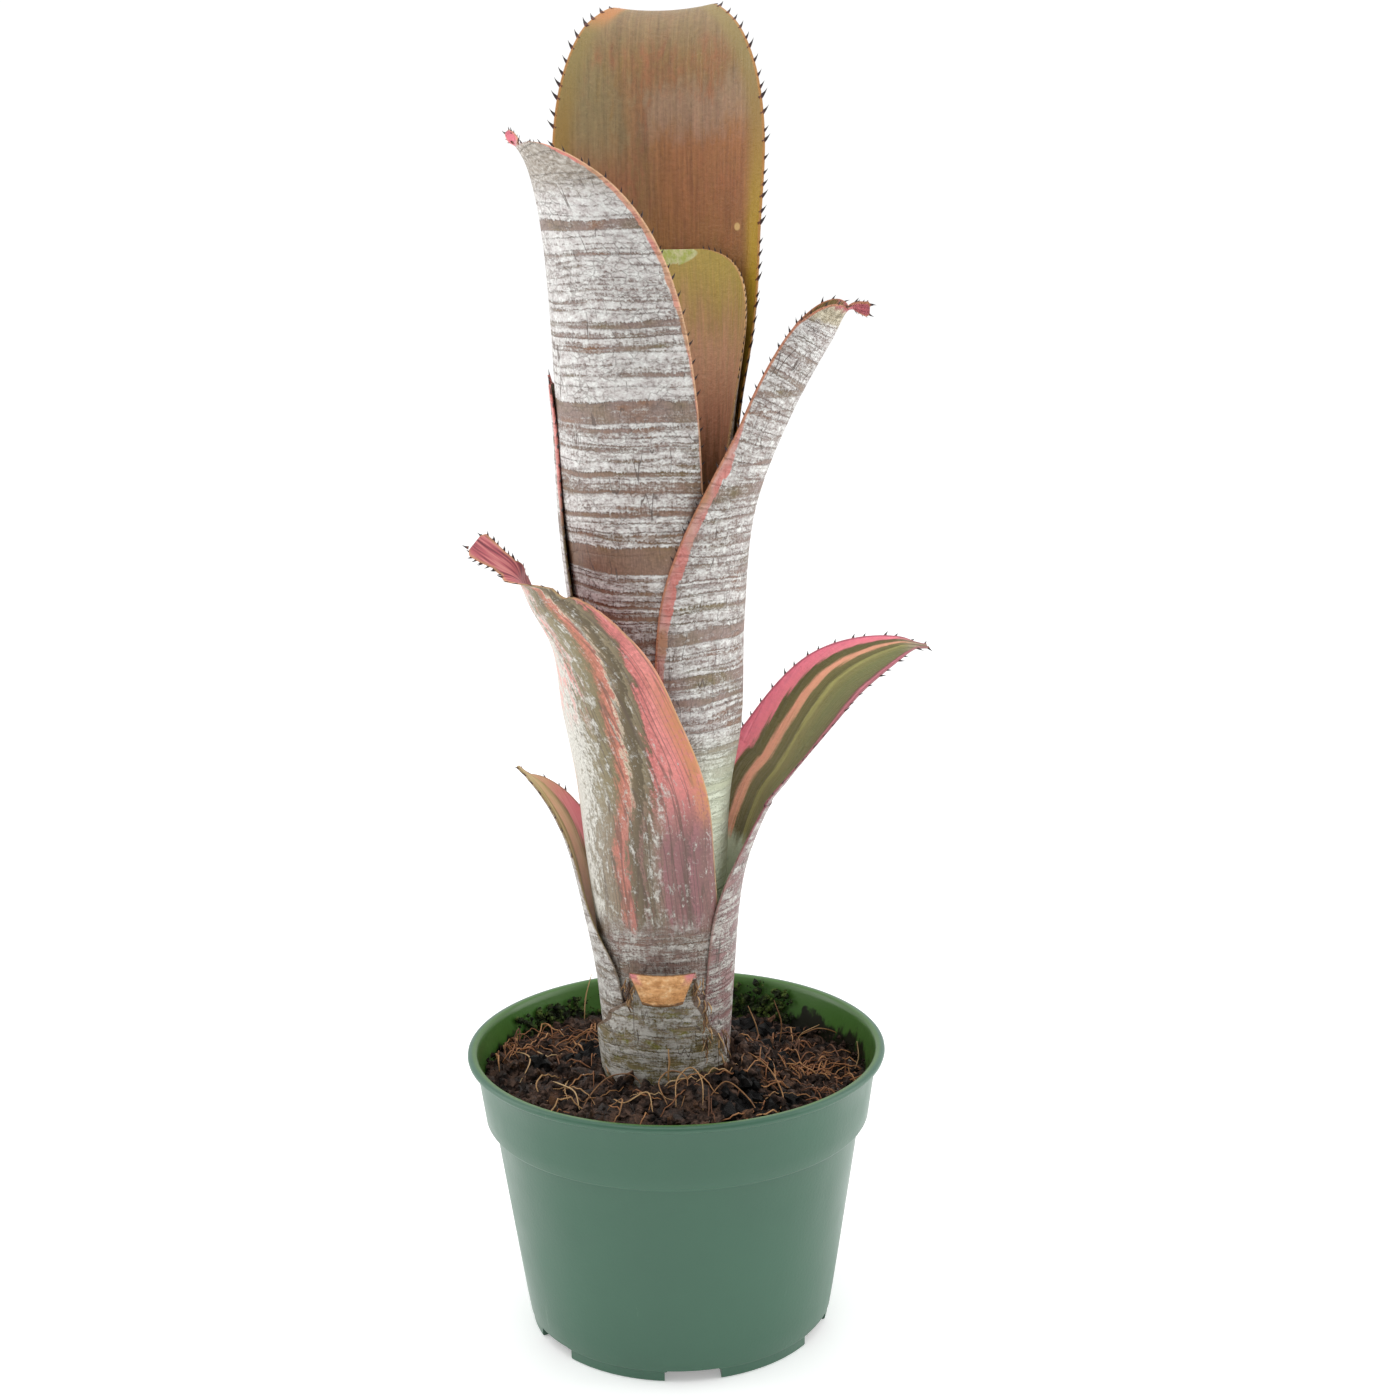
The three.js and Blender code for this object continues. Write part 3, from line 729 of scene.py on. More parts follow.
def unit(vectors):
    return vectors / np.linalg.norm(vectors, axis=-1, keepdims=True)


FIBRE_SIDES = 5


def tubes(paths):
    """Points and faces of closed thin tubes. A path is its points and its radius."""
    points, faces, tones = [], [], []
    turns = math.tau * np.arange(FIBRE_SIDES) / FIBRE_SIDES
    for number, (path, radius) in enumerate(paths):
        path = np.array(path, float)
        forward = unit(np.gradient(path, axis=0))
        side = unit(np.cross(forward, (0.013, 0.017, 1)))
        rise = np.cross(forward, side)
        taper = np.sin(np.linspace(0.35, math.pi - 0.2, len(path))) ** 0.5
        start = len(points)
        for k in range(len(path)):
            ring = np.cos(turns)[:, None] * side[k] + np.sin(turns)[:, None] * rise[k]
            points.extend(path[k] + radius * taper[k] * ring)
        tones.extend([(number * 0.618) % 1] * (len(path) * FIBRE_SIDES))
        faces.extend(closed_rings(len(path), FIBRE_SIDES, start))
    return points, faces, tones


def fibre_piece(name, paths, material):
    points, faces, tones = tubes(paths)
    piece = new_piece(name, np.array(points) * MM, faces, material)
    carry(piece.data, "tone", tones)
    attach(piece, "root")


def fibre_skin(name, colours):
    material, tree, shader = new_surface(name, 0.7)
    cloud = noise(own_place(tree), 340, 2)
    tone = scaled(cloud, 0.6, times(named(tree, "tone"), 0.7))
    stops = [(0.25 + 0.25 * k, *colour) for k, colour in enumerate(colours)]
    feed(shader.inputs["Base Color"], ramp(tone, stops))
    return material


FIBRE_INNER_REACH = SOIL_HOLE + 3.5
FIBRE_OUTER_REACH = 68.5


def lying_fibre(draw, x, y, length, curl, lift):
    """A fibre that wanders over the soil, and rises a little from it in the middle."""
    steps = max(7, int(length / 1.3))
    heading, bend = draw.uniform(0, math.tau), draw.uniform(-curl, curl)
    path = []
    for k in range(steps + 1):
        out = math.hypot(x - FOOT_X, y)
        if out < FIBRE_INNER_REACH:
            x = FOOT_X + (x - FOOT_X) * FIBRE_INNER_REACH / out
            y = y * FIBRE_INNER_REACH / out
        out = math.hypot(x, y)
        if out > FIBRE_OUTER_REACH:
            heading += 1.2
            x, y = x * FIBRE_OUTER_REACH / out, y * FIBRE_OUTER_REACH / out
        ground = float(soil_surface(np.array(x), np.array(y)))
        path.append((x, y, ground + 0.5 + lift * math.sin(math.pi * k / steps)))
        bend = 0.8 * bend + draw.uniform(-curl, curl) * 0.5
        heading += bend
        x += math.cos(heading) * length / steps
        y += math.sin(heading) * length / steps
    return path


def tangle(seed, groups):
    """Fibres round some spots: each spot has its place, spread, count and lengths."""
    draw = random.Random(seed)
    paths = []
    for x, y, wide, deep, count, short, long, curl, lift, thick in groups:
        for _ in range(count):
            at = (x + wide * draw.uniform(-1, 1), y + deep * draw.uniform(-1, 1))
            length, rise = draw.uniform(short, long), lift * draw.uniform(0.3, 1.6)
            path = lying_fibre(draw, *at, length, curl, rise)
            paths.append((path, thick * draw.uniform(0.7, 1.3)))
    return paths


coir = fibre_skin("coir_fibre", [(80, 50, 32), (122, 78, 48), (160, 106, 66), (192, 142, 94)])
coir_paths = tangle(
    31,
    [(48, -4, 20, 22, 84, 8, 22, 0.12, 1.8, 0.27), (50, 16, 16, 8, 24, 8, 18, 0.12, 2.2, 0.25),
     (-44, 31, 13, 8, 26, 14, 30, 0.06, 2.0, 0.27), (-64, 18, 4, 14, 14, 6, 16, 0.3, 2.5, 0.3),
     (-26, 2, 4, 14, 8, 8, 16, 0.15, 3, 0.28), (34, -38, 26, 10, 20, 8, 22, 0.15, 1.5, 0.26),
     (-30, -34, 26, 12, 10, 8, 20, 0.3, 1.5, 0.24), (0, 45, 55, 22, 22, 8, 22, 0.2, 2, 0.22)],
)
fibre_piece("coir_fibres", coir_paths, coir)

rootlet = fibre_skin(
    "pale_rootlet", [(120, 82, 50), (156, 112, 70), (186, 146, 100), (206, 174, 128)]
)
root_knots = [
    [(-33.6, -37.2, 0), (-30, -29, 3), (-24, -24, 5), (-16, -24, 4), (-12, -27, 1)],
    [(0, -38, 0), (0.5, -30, 3), (5, -27, 5), (9, -31, 4), (9.5, -39, 0)],
    [(-3, -37, 0), (-6, -30, 3), (-2, -26, 4), (4, -30, 3), (2, -38, 0)],
    [(-63, 21, 0), (-56, 10, 3), (-54, 0, 4), (-57, -10, 0)],
    [(-27.8, -2, 9), (-26.5, -7, 5), (-24.5, -13, 1)],
    [(12, -33, 0), (18, -29, 3), (26, -34, 3), (30, -42, 0)],
    [(-22, -30, 0), (-18, -36, 2), (-10, -34, 3), (-8, -40, 0)],
    [(26, -10, 2), (34, -16, 4), (38, -26, 2), (36, -34, 0)],
    [(-46, -8, 0), (-42, -18, 3), (-36, -26, 3), (-34, -34, 0)],
]
stem_knots = [
    [(-37, 54.5, 0), (-36.4, 55, 9), (-33.8, 56, 19)],
    [(31.4, 24.7, 0), (29.8, 24.9, 7), (27, 25, 13)],
    [(38.9, 30.5, 0), (39.8, 30.6, 9), (37, 31, 18)],
    [(45.5, 33.3, 0), (47.5, 33.4, 4), (54.5, 33.6, 8)],
    [(48, 36, 3), (54, 36, 5.5), (60, 36, 4.5), (64, 35, 2)],
    [(66, 8, 0), (67.5, 8, 5), (67, 9, 11)],
]


def knotted(knots, steps):
    """A smooth path through knots whose heights count from the soil."""
    curve = smooth_curve([np.array(knot, float) for knot in knots], steps)
    curve[:, 2] += soil_height(curve[:, 0], curve[:, 1]) + 0.6
    return curve


root_paths = [(knotted(knots, 9), 0.27) for knots in root_knots]
root_paths += tangle(
    32, [(-6, -32, 30, 6, 10, 14, 26, 0.3, 3, 0.24), (-50, 0, 16, 24, 5, 10, 24, 0.3, 3, 0.24)]
)
root_paths += [(knotted(knots, 10), 0.26) for knots in stem_knots]
hanging_root = [(-2.5, -27.3, 113), (-2.2, -27.9, 108), (-2.7, -27.6, 103), (-2.4, -27.4, 98)]
root_paths.append((hanging_root, 0.4))
fibre_piece("rootlets", root_paths, rootlet)

# The crown: the short pale stem that all the leaves grow from, hidden under their bases.
crown_skin, crown_tree, crown_shader = new_surface("crown_skin", 0.8)
crown_cloud = noise(stretched(own_place(crown_tree), (1, 1, 4)), 160, 3)
feed(
    crown_shader.inputs["Base Color"],
    ramp(crown_cloud, [(0.3, 150, 132, 92), (0.7, 196, 178, 136)]),
)
bump(crown_shader, crown_cloud, 0.0008)
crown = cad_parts["crown"]
crown.data.materials.clear()
crown.data.materials.append(crown_skin)

# The leaves: stiff leathery straps with spiny margins, curled into a tube, layer in layer.
# Each is a loft of arcs along its midrib: the lower part hugs the tube, the upper part opens.
LEAF_THICKNESS = 0.8
LEAF_BOTTOM = 75
PLANT_LEAN = -0.014
TUBE_MOUTH = 340
TUBE_RADIUS = 22.2
LAYER_PITCH = 1.25
LEAN_FROM = 100
FREE_WITHIN = 12
BEAK_WIDTH = 2.2
BEAK_TAPER = 1.4


def leaf_shape(**own):
    """The measures of one leaf, on top of what most leaves have in common. At its layer and
    azimuth it hugs the tube up to a height, and then its midrib goes its way, through knots of
    azimuth, distance from the axis and height. Widths are its left and right halves at lengths
    along it, and an ending gives them at lengths back from the tip. Opens is the radius that
    the blade is curled to at the end. A cap is the length over which the end rounds off, and a
    beak the narrow point beyond it."""
    common = {
        "twist": 0, "turning": 3, "opening": 2, "tip_turn": None, "ending": None,
        "blunt": False, "row_pitch": 1.8, "cap_rows": 60,
    }
    return SimpleNamespace(**(common | own))


def smooth_step(low, high, value):
    part = np.clip((value - low) / (high - low), 0, 1)
    return part * part * (3 - 2 * part)


def axis_x(height):
    return FOOT_X + PLANT_LEAN * (np.minimum(height, TUBE_MOUTH) - LEAN_FROM)


def layer_radius(leaf, height):
    return TUBE_RADIUS - LAYER_PITCH * leaf.layer + leaf.growth * (height - LEAF_BOTTOM)


def midrib_of(leaf):
    """The midrib: its points, its direction and the length up to each point."""
    heights = np.linspace(LEAF_BOTTOM, leaf.hugs, 5)
    spots = [(leaf.azimuth, layer_radius(leaf, height), height) for height in heights]
    knots = []
    for azimuth, out, height in [*spots, *leaf.way]:
        angle = math.radians(azimuth)
        knots.append(
            np.array([axis_x(height) + out * math.cos(angle), out * math.sin(angle), height])
        )
    line = smooth_curve(knots)
    steps = np.linalg.norm(np.diff(line, axis=0), axis=1)
    reached = np.concatenate([[0], np.cumsum(steps)])
    forward = np.gradient(line, reached, axis=0)
    forward /= np.linalg.norm(forward, axis=1)[:, None]
    return line, forward, reached


def along_values(rows, along):
    """Left and right half widths at distances along the leaf, from its table of widths."""
    rows = np.array(rows, float)
    index = np.clip(np.searchsorted(rows[:, 0], along, "left") - 1, 0, len(rows) - 2)
    low, high = rows[index], rows[index + 1]
    part = smooth_step(low[:, 0], high[:, 0], along)[:, None]
    return (low + (high - low) * part)[:, 1:].T


def turned_about(vectors, axes, angles):
    """Each vector turned about its own axis."""
    cosine, sine = np.cos(angles)[:, None], np.sin(angles)[:, None]
    dots = np.sum(vectors * axes, axis=1)[:, None]
    return vectors * cosine + np.cross(axes, vectors) * sine + axes * dots * (1 - cosine)


def cross_sections(leaf, along):
    """Where each section of a leaf stands, how it is turned and bent, and its half widths."""
    line, tangent, reached = midrib_of(leaf)
    length = reached[-1]
    point = np.stack([np.interp(along, reached, line[:, k]) for k in range(3)], axis=1)
    forward = unit(np.stack([np.interp(along, reached, tangent[:, k]) for k in range(3)], axis=1))
    offset_x = point[:, 0] - axis_x(point[:, 2])
    angle = np.arctan2(point[:, 1], offset_x)
    out = np.stack([np.cos(angle), np.sin(angle), np.zeros_like(angle)], axis=1)
    distance = np.hypot(offset_x, point[:, 1])
    hugging = layer_radius(leaf, point[:, 2])
    free = smooth_step(0, FREE_WITHIN, distance - hugging)[:, None]
    side = np.stack([-out[:, 1], out[:, 0], out[:, 2]], axis=1)
    side = unit(side - forward * np.sum(side * forward, axis=1)[:, None] * free)
    inward = -out * (1 - free) + np.cross(forward, side) * free
    inward = unit(inward - side * np.sum(side * inward, axis=1)[:, None])
    parted = smooth_step(leaf.hugs - LEAF_BOTTOM, length, along)
    turn = math.radians(leaf.twist) * parted ** leaf.turning
    if leaf.tip_turn:
        angle, start, end = leaf.tip_turn
        turn = turn + math.radians(angle) * smooth_step(start, end, length - along)
    side = turned_about(side, forward, turn)
    inward = turned_about(inward, forward, turn)
    opening = parted ** leaf.opening
    bend = np.minimum(hugging, distance) * (1 - opening) + leaf.opens * opening
    less, more = along_values(leaf.widths, along)
    cap = np.ones_like(along)
    beak = np.zeros_like(along)
    if leaf.cap:
        part = np.clip((along - (length - leaf.beak - leaf.cap)) / leaf.cap, 0, 1)
        cap = (1 - part**leaf.power) ** (1 / leaf.power)
        beak = BEAK_WIDTH - BEAK_TAPER * smooth_step(length - 2 * leaf.beak, length, along)
    less, more = np.hypot(less * cap, beak), np.hypot(more * cap, beak)
    if leaf.ending:
        to_tip, half_less, half_more = np.array(leaf.ending, float).T
        near = length - along < to_tip[-1]
        less = np.where(near, np.interp(length - along, to_tip, half_less), less)
        more = np.where(near, np.interp(length - along, to_tip, half_more), more)
    return SimpleNamespace(
        along=along, length=length, point=point, side=side, inward=inward,
        bend=bend, less=less, more=more,
    )


def blade_points(sections, across, beyond, depth):
    """Points of every section, in millimetres: across runs from -1 to 1 between the margins,
    beyond adds an arc outside them, and depth goes in from the outer face."""
    width = np.where(across < 0, sections.less[:, None], sections.more[:, None])
    arc = across * width + beyond
    angle = arc / sections.bend[:, None]
    radius = sections.bend[:, None] - depth
    lift = depth + radius * (1 - np.cos(angle))
    swing = radius * np.sin(angle)
    points = (
        sections.point[:, None]
        + sections.inward[:, None] * lift[..., None]
        + sections.side[:, None] * swing[..., None]
    )
    normal = -(
        sections.inward[:, None] * np.cos(angle)[..., None]
        - sections.side[:, None] * np.sin(angle)[..., None]
    )
    return points, normal, arc


def section_rows(leaf, length):
    """Distances along the leaf: even, but close together where the end rounds off."""
    end = length - leaf.beak
    start = end - leaf.cap
    rows = list(np.linspace(0, start, max(8, int(start / leaf.row_pitch))))
    if leaf.cap:
        rounding = np.sin(np.linspace(0, math.pi / 2, leaf.cap_rows))[1:]
        rows.extend(start + leaf.cap * rounding)
        rows.extend(np.linspace(end, length, 9)[1:])
    if leaf.ending:
        reach = leaf.ending[-1][0]
        rows = [row for row in rows if row < length - reach - 0.3]
        rows.extend(np.linspace(length - reach, length, 2 + int(reach / 0.5)))
    if leaf.blunt:
        rows = [row for row in rows if row <= end - 0.3]
    return np.array(rows)


BLADE_COLUMNS = 48
MARGIN_CROWDING = 1.25
EDGE_TURNS = np.radians([-60, -30, 0, 30, 60])
CENTIMETRE = 10


def make_blade(name, leaf, material, moved_out=None):
    """One leaf as a closed mesh. Attributes tell the material where it is on the blade."""
    along = section_rows(leaf, midrib_of(leaf)[2][-1])
    sections = cross_sections(leaf, along)
    half = LEAF_THICKNESS / 2
    spread = np.linspace(-1, 1, BLADE_COLUMNS + 1)
    spread = np.sign(spread) * (1 - (1 - np.abs(spread)) ** MARGIN_CROWDING)
    across = np.concatenate([spread, np.ones(5), spread[::-1], -np.ones(5)])
    flat = np.zeros(BLADE_COLUMNS + 1)
    beyond = np.concatenate([flat, half * np.cos(EDGE_TURNS), flat, -half * np.cos(EDGE_TURNS)])
    edge_depth = half + half * np.sin(EDGE_TURNS)
    depth = np.concatenate([flat, edge_depth, flat + LEAF_THICKNESS, edge_depth[::-1]])
    face = depth / LEAF_THICKNESS
    around = len(across)
    rows = len(along)
    points, normal, arc = blade_points(sections, across[None], beyond[None], depth[None])
    width = np.where(across < 0, sections.less[:, None], sections.more[:, None])
    rim = width * (1 - np.abs(across[None]))
    if moved_out:
        points = points + normal * moved_out(sections, across[None])[..., None]
    faces = ring_faces(rows, around)
    top = (rows - 1) * around
    for j in range(BLADE_COLUMNS):
        back = 2 * BLADE_COLUMNS + 6 - j
        faces.append((j, back, back - 1, j + 1))
        faces.append((top + j, top + j + 1, top + back - 1, top + back))
    for start in (0, top):
        right = [start + BLADE_COLUMNS + k for k in range(7)]
        left = [start + (around - 5 + k) % around for k in range(6)]
        left = [start + 2 * BLADE_COLUMNS + 6] + left
        faces.append(tuple(right) if start else tuple(reversed(right)))
        faces.append(tuple(left) if start else tuple(reversed(left)))
    blade = new_piece(name, points.reshape(-1, 3) * MM, faces, material)
    ones = np.ones((rows, around))
    place = np.stack([arc / CENTIMETRE, ones * along[:, None] / CENTIMETRE, ones * 0], axis=-1)
    values = {
        "across": across[None] * ones, "rim": rim, "face": face[None] * ones,
        "tip": ones * (sections.length - along[:, None]), "along": ones * along[:, None],
    }
    carry(blade.data, "blade", place.reshape(-1, 3))
    for label, value in values.items():
        carry(blade.data, label, value.reshape(-1))
    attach(blade, "root")
    return blade, sections


def leaf_surface(name, roughness, seed, bands):
    """A leaf material's first nodes: where the point lies on its blade. Bands are dark rings
    across the leaf, each with its height, its half thickness and its strength."""
    material, tree, shader = new_surface(name, roughness)
    own_part = (seed * 7.3, seed * 3.1, seed)
    blade = stretched(named(tree, "blade", "Vector"), (1, 1, 1), own_part)
    split = tree.nodes.new("ShaderNodeSeparateXYZ")
    feed(split.inputs[0], own_place(tree))
    return SimpleNamespace(
        material=material, tree=tree, shader=shader, blade=blade, across=named(tree, "across"),
        rim=named(tree, "rim"), face=named(tree, "face"), tip=named(tree, "tip"),
        along=named(tree, "along"), height=times(split.outputs["Z"], 1000.0),
        bands=bands,
    )


def on_blade(skin, across, along, detail=2.0, roughness=0.5, scale=1.0):
    """A cloud stretched over the blade; large numbers make it fine in that direction."""
    return noise(stretched(skin.blade, (across, along, 1)), scale, detail, roughness)


def thin_lines(vector, scale, thin, wide):
    """Thin unbroken lines, where a noise that is stretched across the leaf passes its middle."""
    return grade(away_from(noise(stretched(vector, scale), 1.0, 1), 0.5), wide, thin)


def silver_scales(skin, ground, amount=0.0, wear=0.0):
    """The grey scales of an outer face. They lie in rows across the leaf, with thin ragged dark
    gaps between them where the ground colour shows, and they are worn off in flecks; the wear
    of an old leaf leaves them in patches. Returns the colour and a height for the bump."""
    tree = skin.tree
    comb = on_blade(skin, 15, 2.5, 2, 0.6)
    grain = on_blade(skin, 9, 13, 3, 0.7)
    sway = on_blade(skin, 0.3, 0.25, 1)
    shift = scaled(sway, 0.6, times(comb, 0.16))
    lift = tree.nodes.new("ShaderNodeCombineXYZ")
    feed(lift.inputs["Y"], shift)
    wavy = tree.nodes.new("ShaderNodeVectorMath")
    wavy.operation = "ADD"
    feed(wavy.inputs[0], skin.blade)
    feed(wavy.inputs[1], lift.outputs[0])
    wavy = wavy.outputs[0]
    gaps = thin_lines(wavy, (0.1, 2.2, 1), 0.005, 0.045)
    hairs = thin_lines(wavy, (0.2, 7, 1), 0.005, 0.07)
    zones = noise(stretched(wavy, (0.14, 0.8, 1)), 1.0, 2)
    blotch = on_blade(skin, 2.6, 3.4, 2, 0.6)
    rough = times(minus(comb, 0.5), 0.8)
    rough = swayed(rough, grain, 2.0)
    rough = swayed(rough, blotch, 1.2)
    patch = noise(stretched(wavy, (0.9, 2.0, 1)), 1.0, 3, 0.65)
    rough = swayed(rough, patch, 0.4 + 3.6 * wear)
    level = scaled(minus(shift, 0.38), 9.0, skin.height)
    level = scaled(rough, 0.5, level)
    band = 0.0
    for height, reach, strength in skin.bands:
        away = away_from(level, float(height))
        ring = grade(away, reach + 0.35, max(reach - 0.35, 0.05), 0.0, float(strength))
        band = maths("MAXIMUM", ring, band)
    cover = plus(scaled(gaps, -0.55 + 0.25 * wear, 1.22), amount)
    cover = scaled(hairs, -0.32, cover)
    cover = plus(cover, grade(zones, 0.58, 0.72, 0.0, -0.3))
    cover = scaled(band, -0.95, cover)
    cover = plus(cover, rough)
    cover = grade(cover, 0.0, 1.1)
    tone = scaled(comb, 0.5, times(grain, 0.5))
    tone = ramp(tone, [(0.38, (0.74, 0.74, 0.74, 1)), (0.62, (1.26, 1.26, 1.26, 1))])
    ground = blend(1.0, ground, tone, "MULTIPLY")
    silver = ramp(
        scaled(blotch, 0.5, times(grain, 0.5)),
        [(0.38, 172, 163, 160), (0.48, 203, 198, 195), (0.56, 216, 215, 211),
         (0.64, 234, 234, 230)],
    )
    silver = blend(0.45 * wear, silver, paint(166, 158, 144))
    colour = blend(cover, ground, silver)
    upright = on_blade(skin, 2.4, 0.35, 1)
    split = grade(away_from(upright, 0.5), 0.013, 0.004)
    cell = tree.nodes.new("ShaderNodeTexVoronoi")
    cell.feature = "DISTANCE_TO_EDGE"
    cell.inputs["Scale"].default_value = 1.0
    feed(cell.inputs["Vector"], stretched(wavy, (2.2, 3.6, 1)))
    brick = grade(cell.outputs["Distance"], 0.06, 0.015)
    where = on_blade(skin, 0.7, 0.7, 2, scale=1.3)
    split = times(split, grade(where, 0.54, 0.6, 0.0, 0.8))
    brick = times(brick, grade(where, 0.54, 0.42, 0.0, 0.4))
    crack = maths("MAXIMUM", split, brick)
    colour = blend(crack, colour, paint(100, 86, 78))
    height = scaled(crack, -0.7, times(cover, 0.7))
    return colour, scaled(gaps, -0.3, height)


def veins(skin, count=13.0):
    """Fine lengthwise veins, as a value round one half."""
    return on_blade(skin, count, 0.35, 3, 0.6)


def torn_edge(skin):
    """A slow change along the margin, for trims whose colour comes and goes."""
    return on_blade(skin, 1, 0.7, 2)


def brown_ground(skin):
    """The purple, brown and olive ground under the scales."""
    cloud = on_blade(skin, 0.5, 0.8, 3, 0.55)
    return ramp(
        cloud,
        [(0.32, 118, 104, 70), (0.42, 134, 116, 100), (0.56, 142, 122, 114), (0.7, 138, 100, 72)],
    )


def finish_leaf(skin, outer, inner, outer_height, inner_height, trims, satin):
    """Joins the two faces of a leaf, lays the coloured trims along its margins, and sets gloss
    and bump. A trim is its width in millimetres, its colour and its strength."""
    tree, shader = skin.tree, skin.shader
    inner_side = grade(skin.face, 0.4, 0.6)
    colour = blend(inner_side, outer, inner)
    torn = on_blade(skin, 3, 1.6, 4, 0.65)
    for width, trim_colour, strength in trims:
        reach = times(scaled(torn, 1.6, 0.2), width)
        over = minus(reach, skin.rim)
        mask = times(grade(over, -0.25, 0.25), strength)
        colour = blend(mask, colour, trim_colour)
    feed(shader.inputs["Base Color"], colour)
    gloss = scaled(veins(skin, 5), 0.2, satin - 0.1)
    feed(shader.inputs["Roughness"], gloss)
    height = tree.nodes.new("ShaderNodeMix")
    feed(height.inputs["Factor"], inner_side)
    feed(height.inputs[2], outer_height)
    feed(height.inputs[3], inner_height)
    bump(shader, height.outputs[0], 0.0005)
    return skin.material


# Spines: small hooked thorns, broad and reddish at the root and dark at the point. They stand
# on both margins of every leaf, a few millimetres apart.
def thorn_mesh():
    points = []
    rings, sides = 6, 6
    for k in range(rings):
        part = k / (rings - 1)
        height = -0.35 + 1.35 * part
        wide = 0.36 * (1 - part) ** 1.25 + 0.01
        thick = 0.16 * (1 - part) + 0.008
        hook = 0.24 * max(height, 0) ** 2
        for j in range(sides):
            turn = math.tau * j / sides
            points.append((thick * math.cos(turn), hook + wide * math.sin(turn), height))
    mesh = bpy.data.meshes.new("thorn")
    mesh.from_pydata(points, [], closed_rings(rings, sides))
    mesh.shade_smooth()
    carry(mesh, "point", [max(0.0, point[2]) for point in points])
    return mesh


thorn = bpy.data.objects.new("thorn", thorn_mesh())


def thorn_skin():
    material, tree, shader = new_surface("thorn_skin", 0.45)
    cloud = noise(own_place(tree), 900, 2)
    reach = scaled(cloud, 0.3, named(tree, "point"))
    colour = ramp(reach, [(0.1, 128, 78, 54), (0.2, 84, 44, 38), (0.38, 40, 27, 26)])
    feed(shader.inputs["Base Color"], colour)
    return material


thorn_brown = thorn_skin()


def spine_tree():
    """Places thorns along an edge line: spaced by length, a little uneven in place and size."""
    tree = growing_group(
        "spines_on_margin",
        [("Spacing", "Float"), ("Length", "Float"), ("Lean", "Float"), ("Seed", "Int")],
    )
    new = tree.nodes.new
    given = new("NodeGroupInput").outputs
    line, spaced = new("GeometryNodeMeshToCurve"), new("GeometryNodeResampleCurve")
    spaced.mode = "LENGTH"
    feed(line.inputs["Mesh"], given["Geometry"])
    feed(spaced.inputs["Curve"], line.outputs["Curve"])
    feed(spaced.inputs["Length"], given["Spacing"])
    tangent = new("GeometryNodeInputTangent").outputs[0]
    nudge = new("ShaderNodeVectorMath")
    nudge.operation = "SCALE"
    feed(nudge.inputs[0], tangent)
    feed(nudge.inputs["Scale"], times(chance(given["Seed"], -0.28, 0.28), given["Spacing"]))
    moved = new("GeometryNodeSetPosition")
    feed(moved.inputs["Geometry"], spaced.outputs["Curve"])
    feed(moved.inputs["Offset"], nudge.outputs[0])
    leaning = new("ShaderNodeVectorMath")
    leaning.operation = "MULTIPLY_ADD"
    feed(leaning.inputs[0], tangent)
    feed(leaning.inputs[1], given["Lean"])
    feed(leaning.inputs[2], stored(tree, "outward", "FLOAT_VECTOR"))
    turn = new("FunctionNodeAxesToRotation")
    turn.primary_axis, turn.secondary_axis = "Z", "X"
    feed(turn.inputs[0], leaning.outputs[0])
    feed(turn.inputs[1], stored(tree, "crosswise", "FLOAT_VECTOR"))
    shape = new("GeometryNodeObjectInfo")
    shape.inputs["Object"].default_value = thorn
    set_copies(
        moved.outputs["Geometry"], shape.outputs["Geometry"], turn.outputs[0],
        times(chance(given["Seed"], 0.72, 1.12), given["Length"]), thorn_brown,
    )
    return tree


spines_on_margin = spine_tree()


SPINE_LEAN = 0.45


def grow_spines(name, leaf, sections, seed, spacing, length, last=None):
    """Spines on both margins of one leaf, from where the blade comes free. With last given,
    they stand only on the last few millimetres of the tip."""
    mesh_points, edges, outward, crosswise = [], [], [], []
    keep = sections.point[:, 2] > leaf.spines_from
    if last:
        keep = sections.length - sections.along < last
    half = LEAF_THICKNESS / 2
    for sign in (-1.0, 1.0):
        across = np.array([[sign]])
        middle, _, _ = blade_points(sections, across, np.array([[sign * half]]), np.array([[half]]))
        inside, _, _ = blade_points(sections, across, np.array([[-sign * 1.0]]), np.array([[half]]))
        middle, inside = middle[keep, 0], inside[keep, 0]
        travel = unit(np.gradient(middle, axis=0))
        out = middle - inside
        out = unit(out - travel * np.sum(out * travel, axis=1)[:, None])
        start = len(mesh_points)
        mesh_points.extend(middle * MM)
        outward.extend(out)
        crosswise.extend(np.cross(travel, out))
        edges.extend((start + k, start + k + 1) for k in range(len(middle) - 1))
    mesh = bpy.data.meshes.new(name)
    mesh.from_pydata([tuple(point) for point in mesh_points], edges, [])
    carry(mesh, "outward", outward)
    carry(mesh, "crosswise", crosswise)
    settings = {"Spacing": spacing * MM, "Length": length * MM, "Lean": SPINE_LEAN, "Seed": seed}
    spines = grown(name, mesh, spines_on_margin, settings)
    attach(spines, "root")


# The back leaf: the tallest, a broad strap that stands straight and arches over at its end.
# Its inner face is olive and red brown with fine veins, its margins golden, its back banded.
back_tall = leaf_shape(
    layer=7, growth=0.07, azimuth=90, hugs=280, opens=90,
    way=[(88, 29.2, 320), (83.4, 31.2, 362), (83.7, 34, 420), (83, 36, 452), (83, 41, 466),
         (83, 49, 470), (83, 57, 465)],
    widths=[(0, 24, 26), (150, 37, 35), (270, 48, 32), (325, 41.4, 37.2)],
    cap=68.4, power=2.14, beak=4, spines_from=270,
    bands=[(330, 5, 1), (392, 4, 0.8), (440, 3, 0.8)],
)


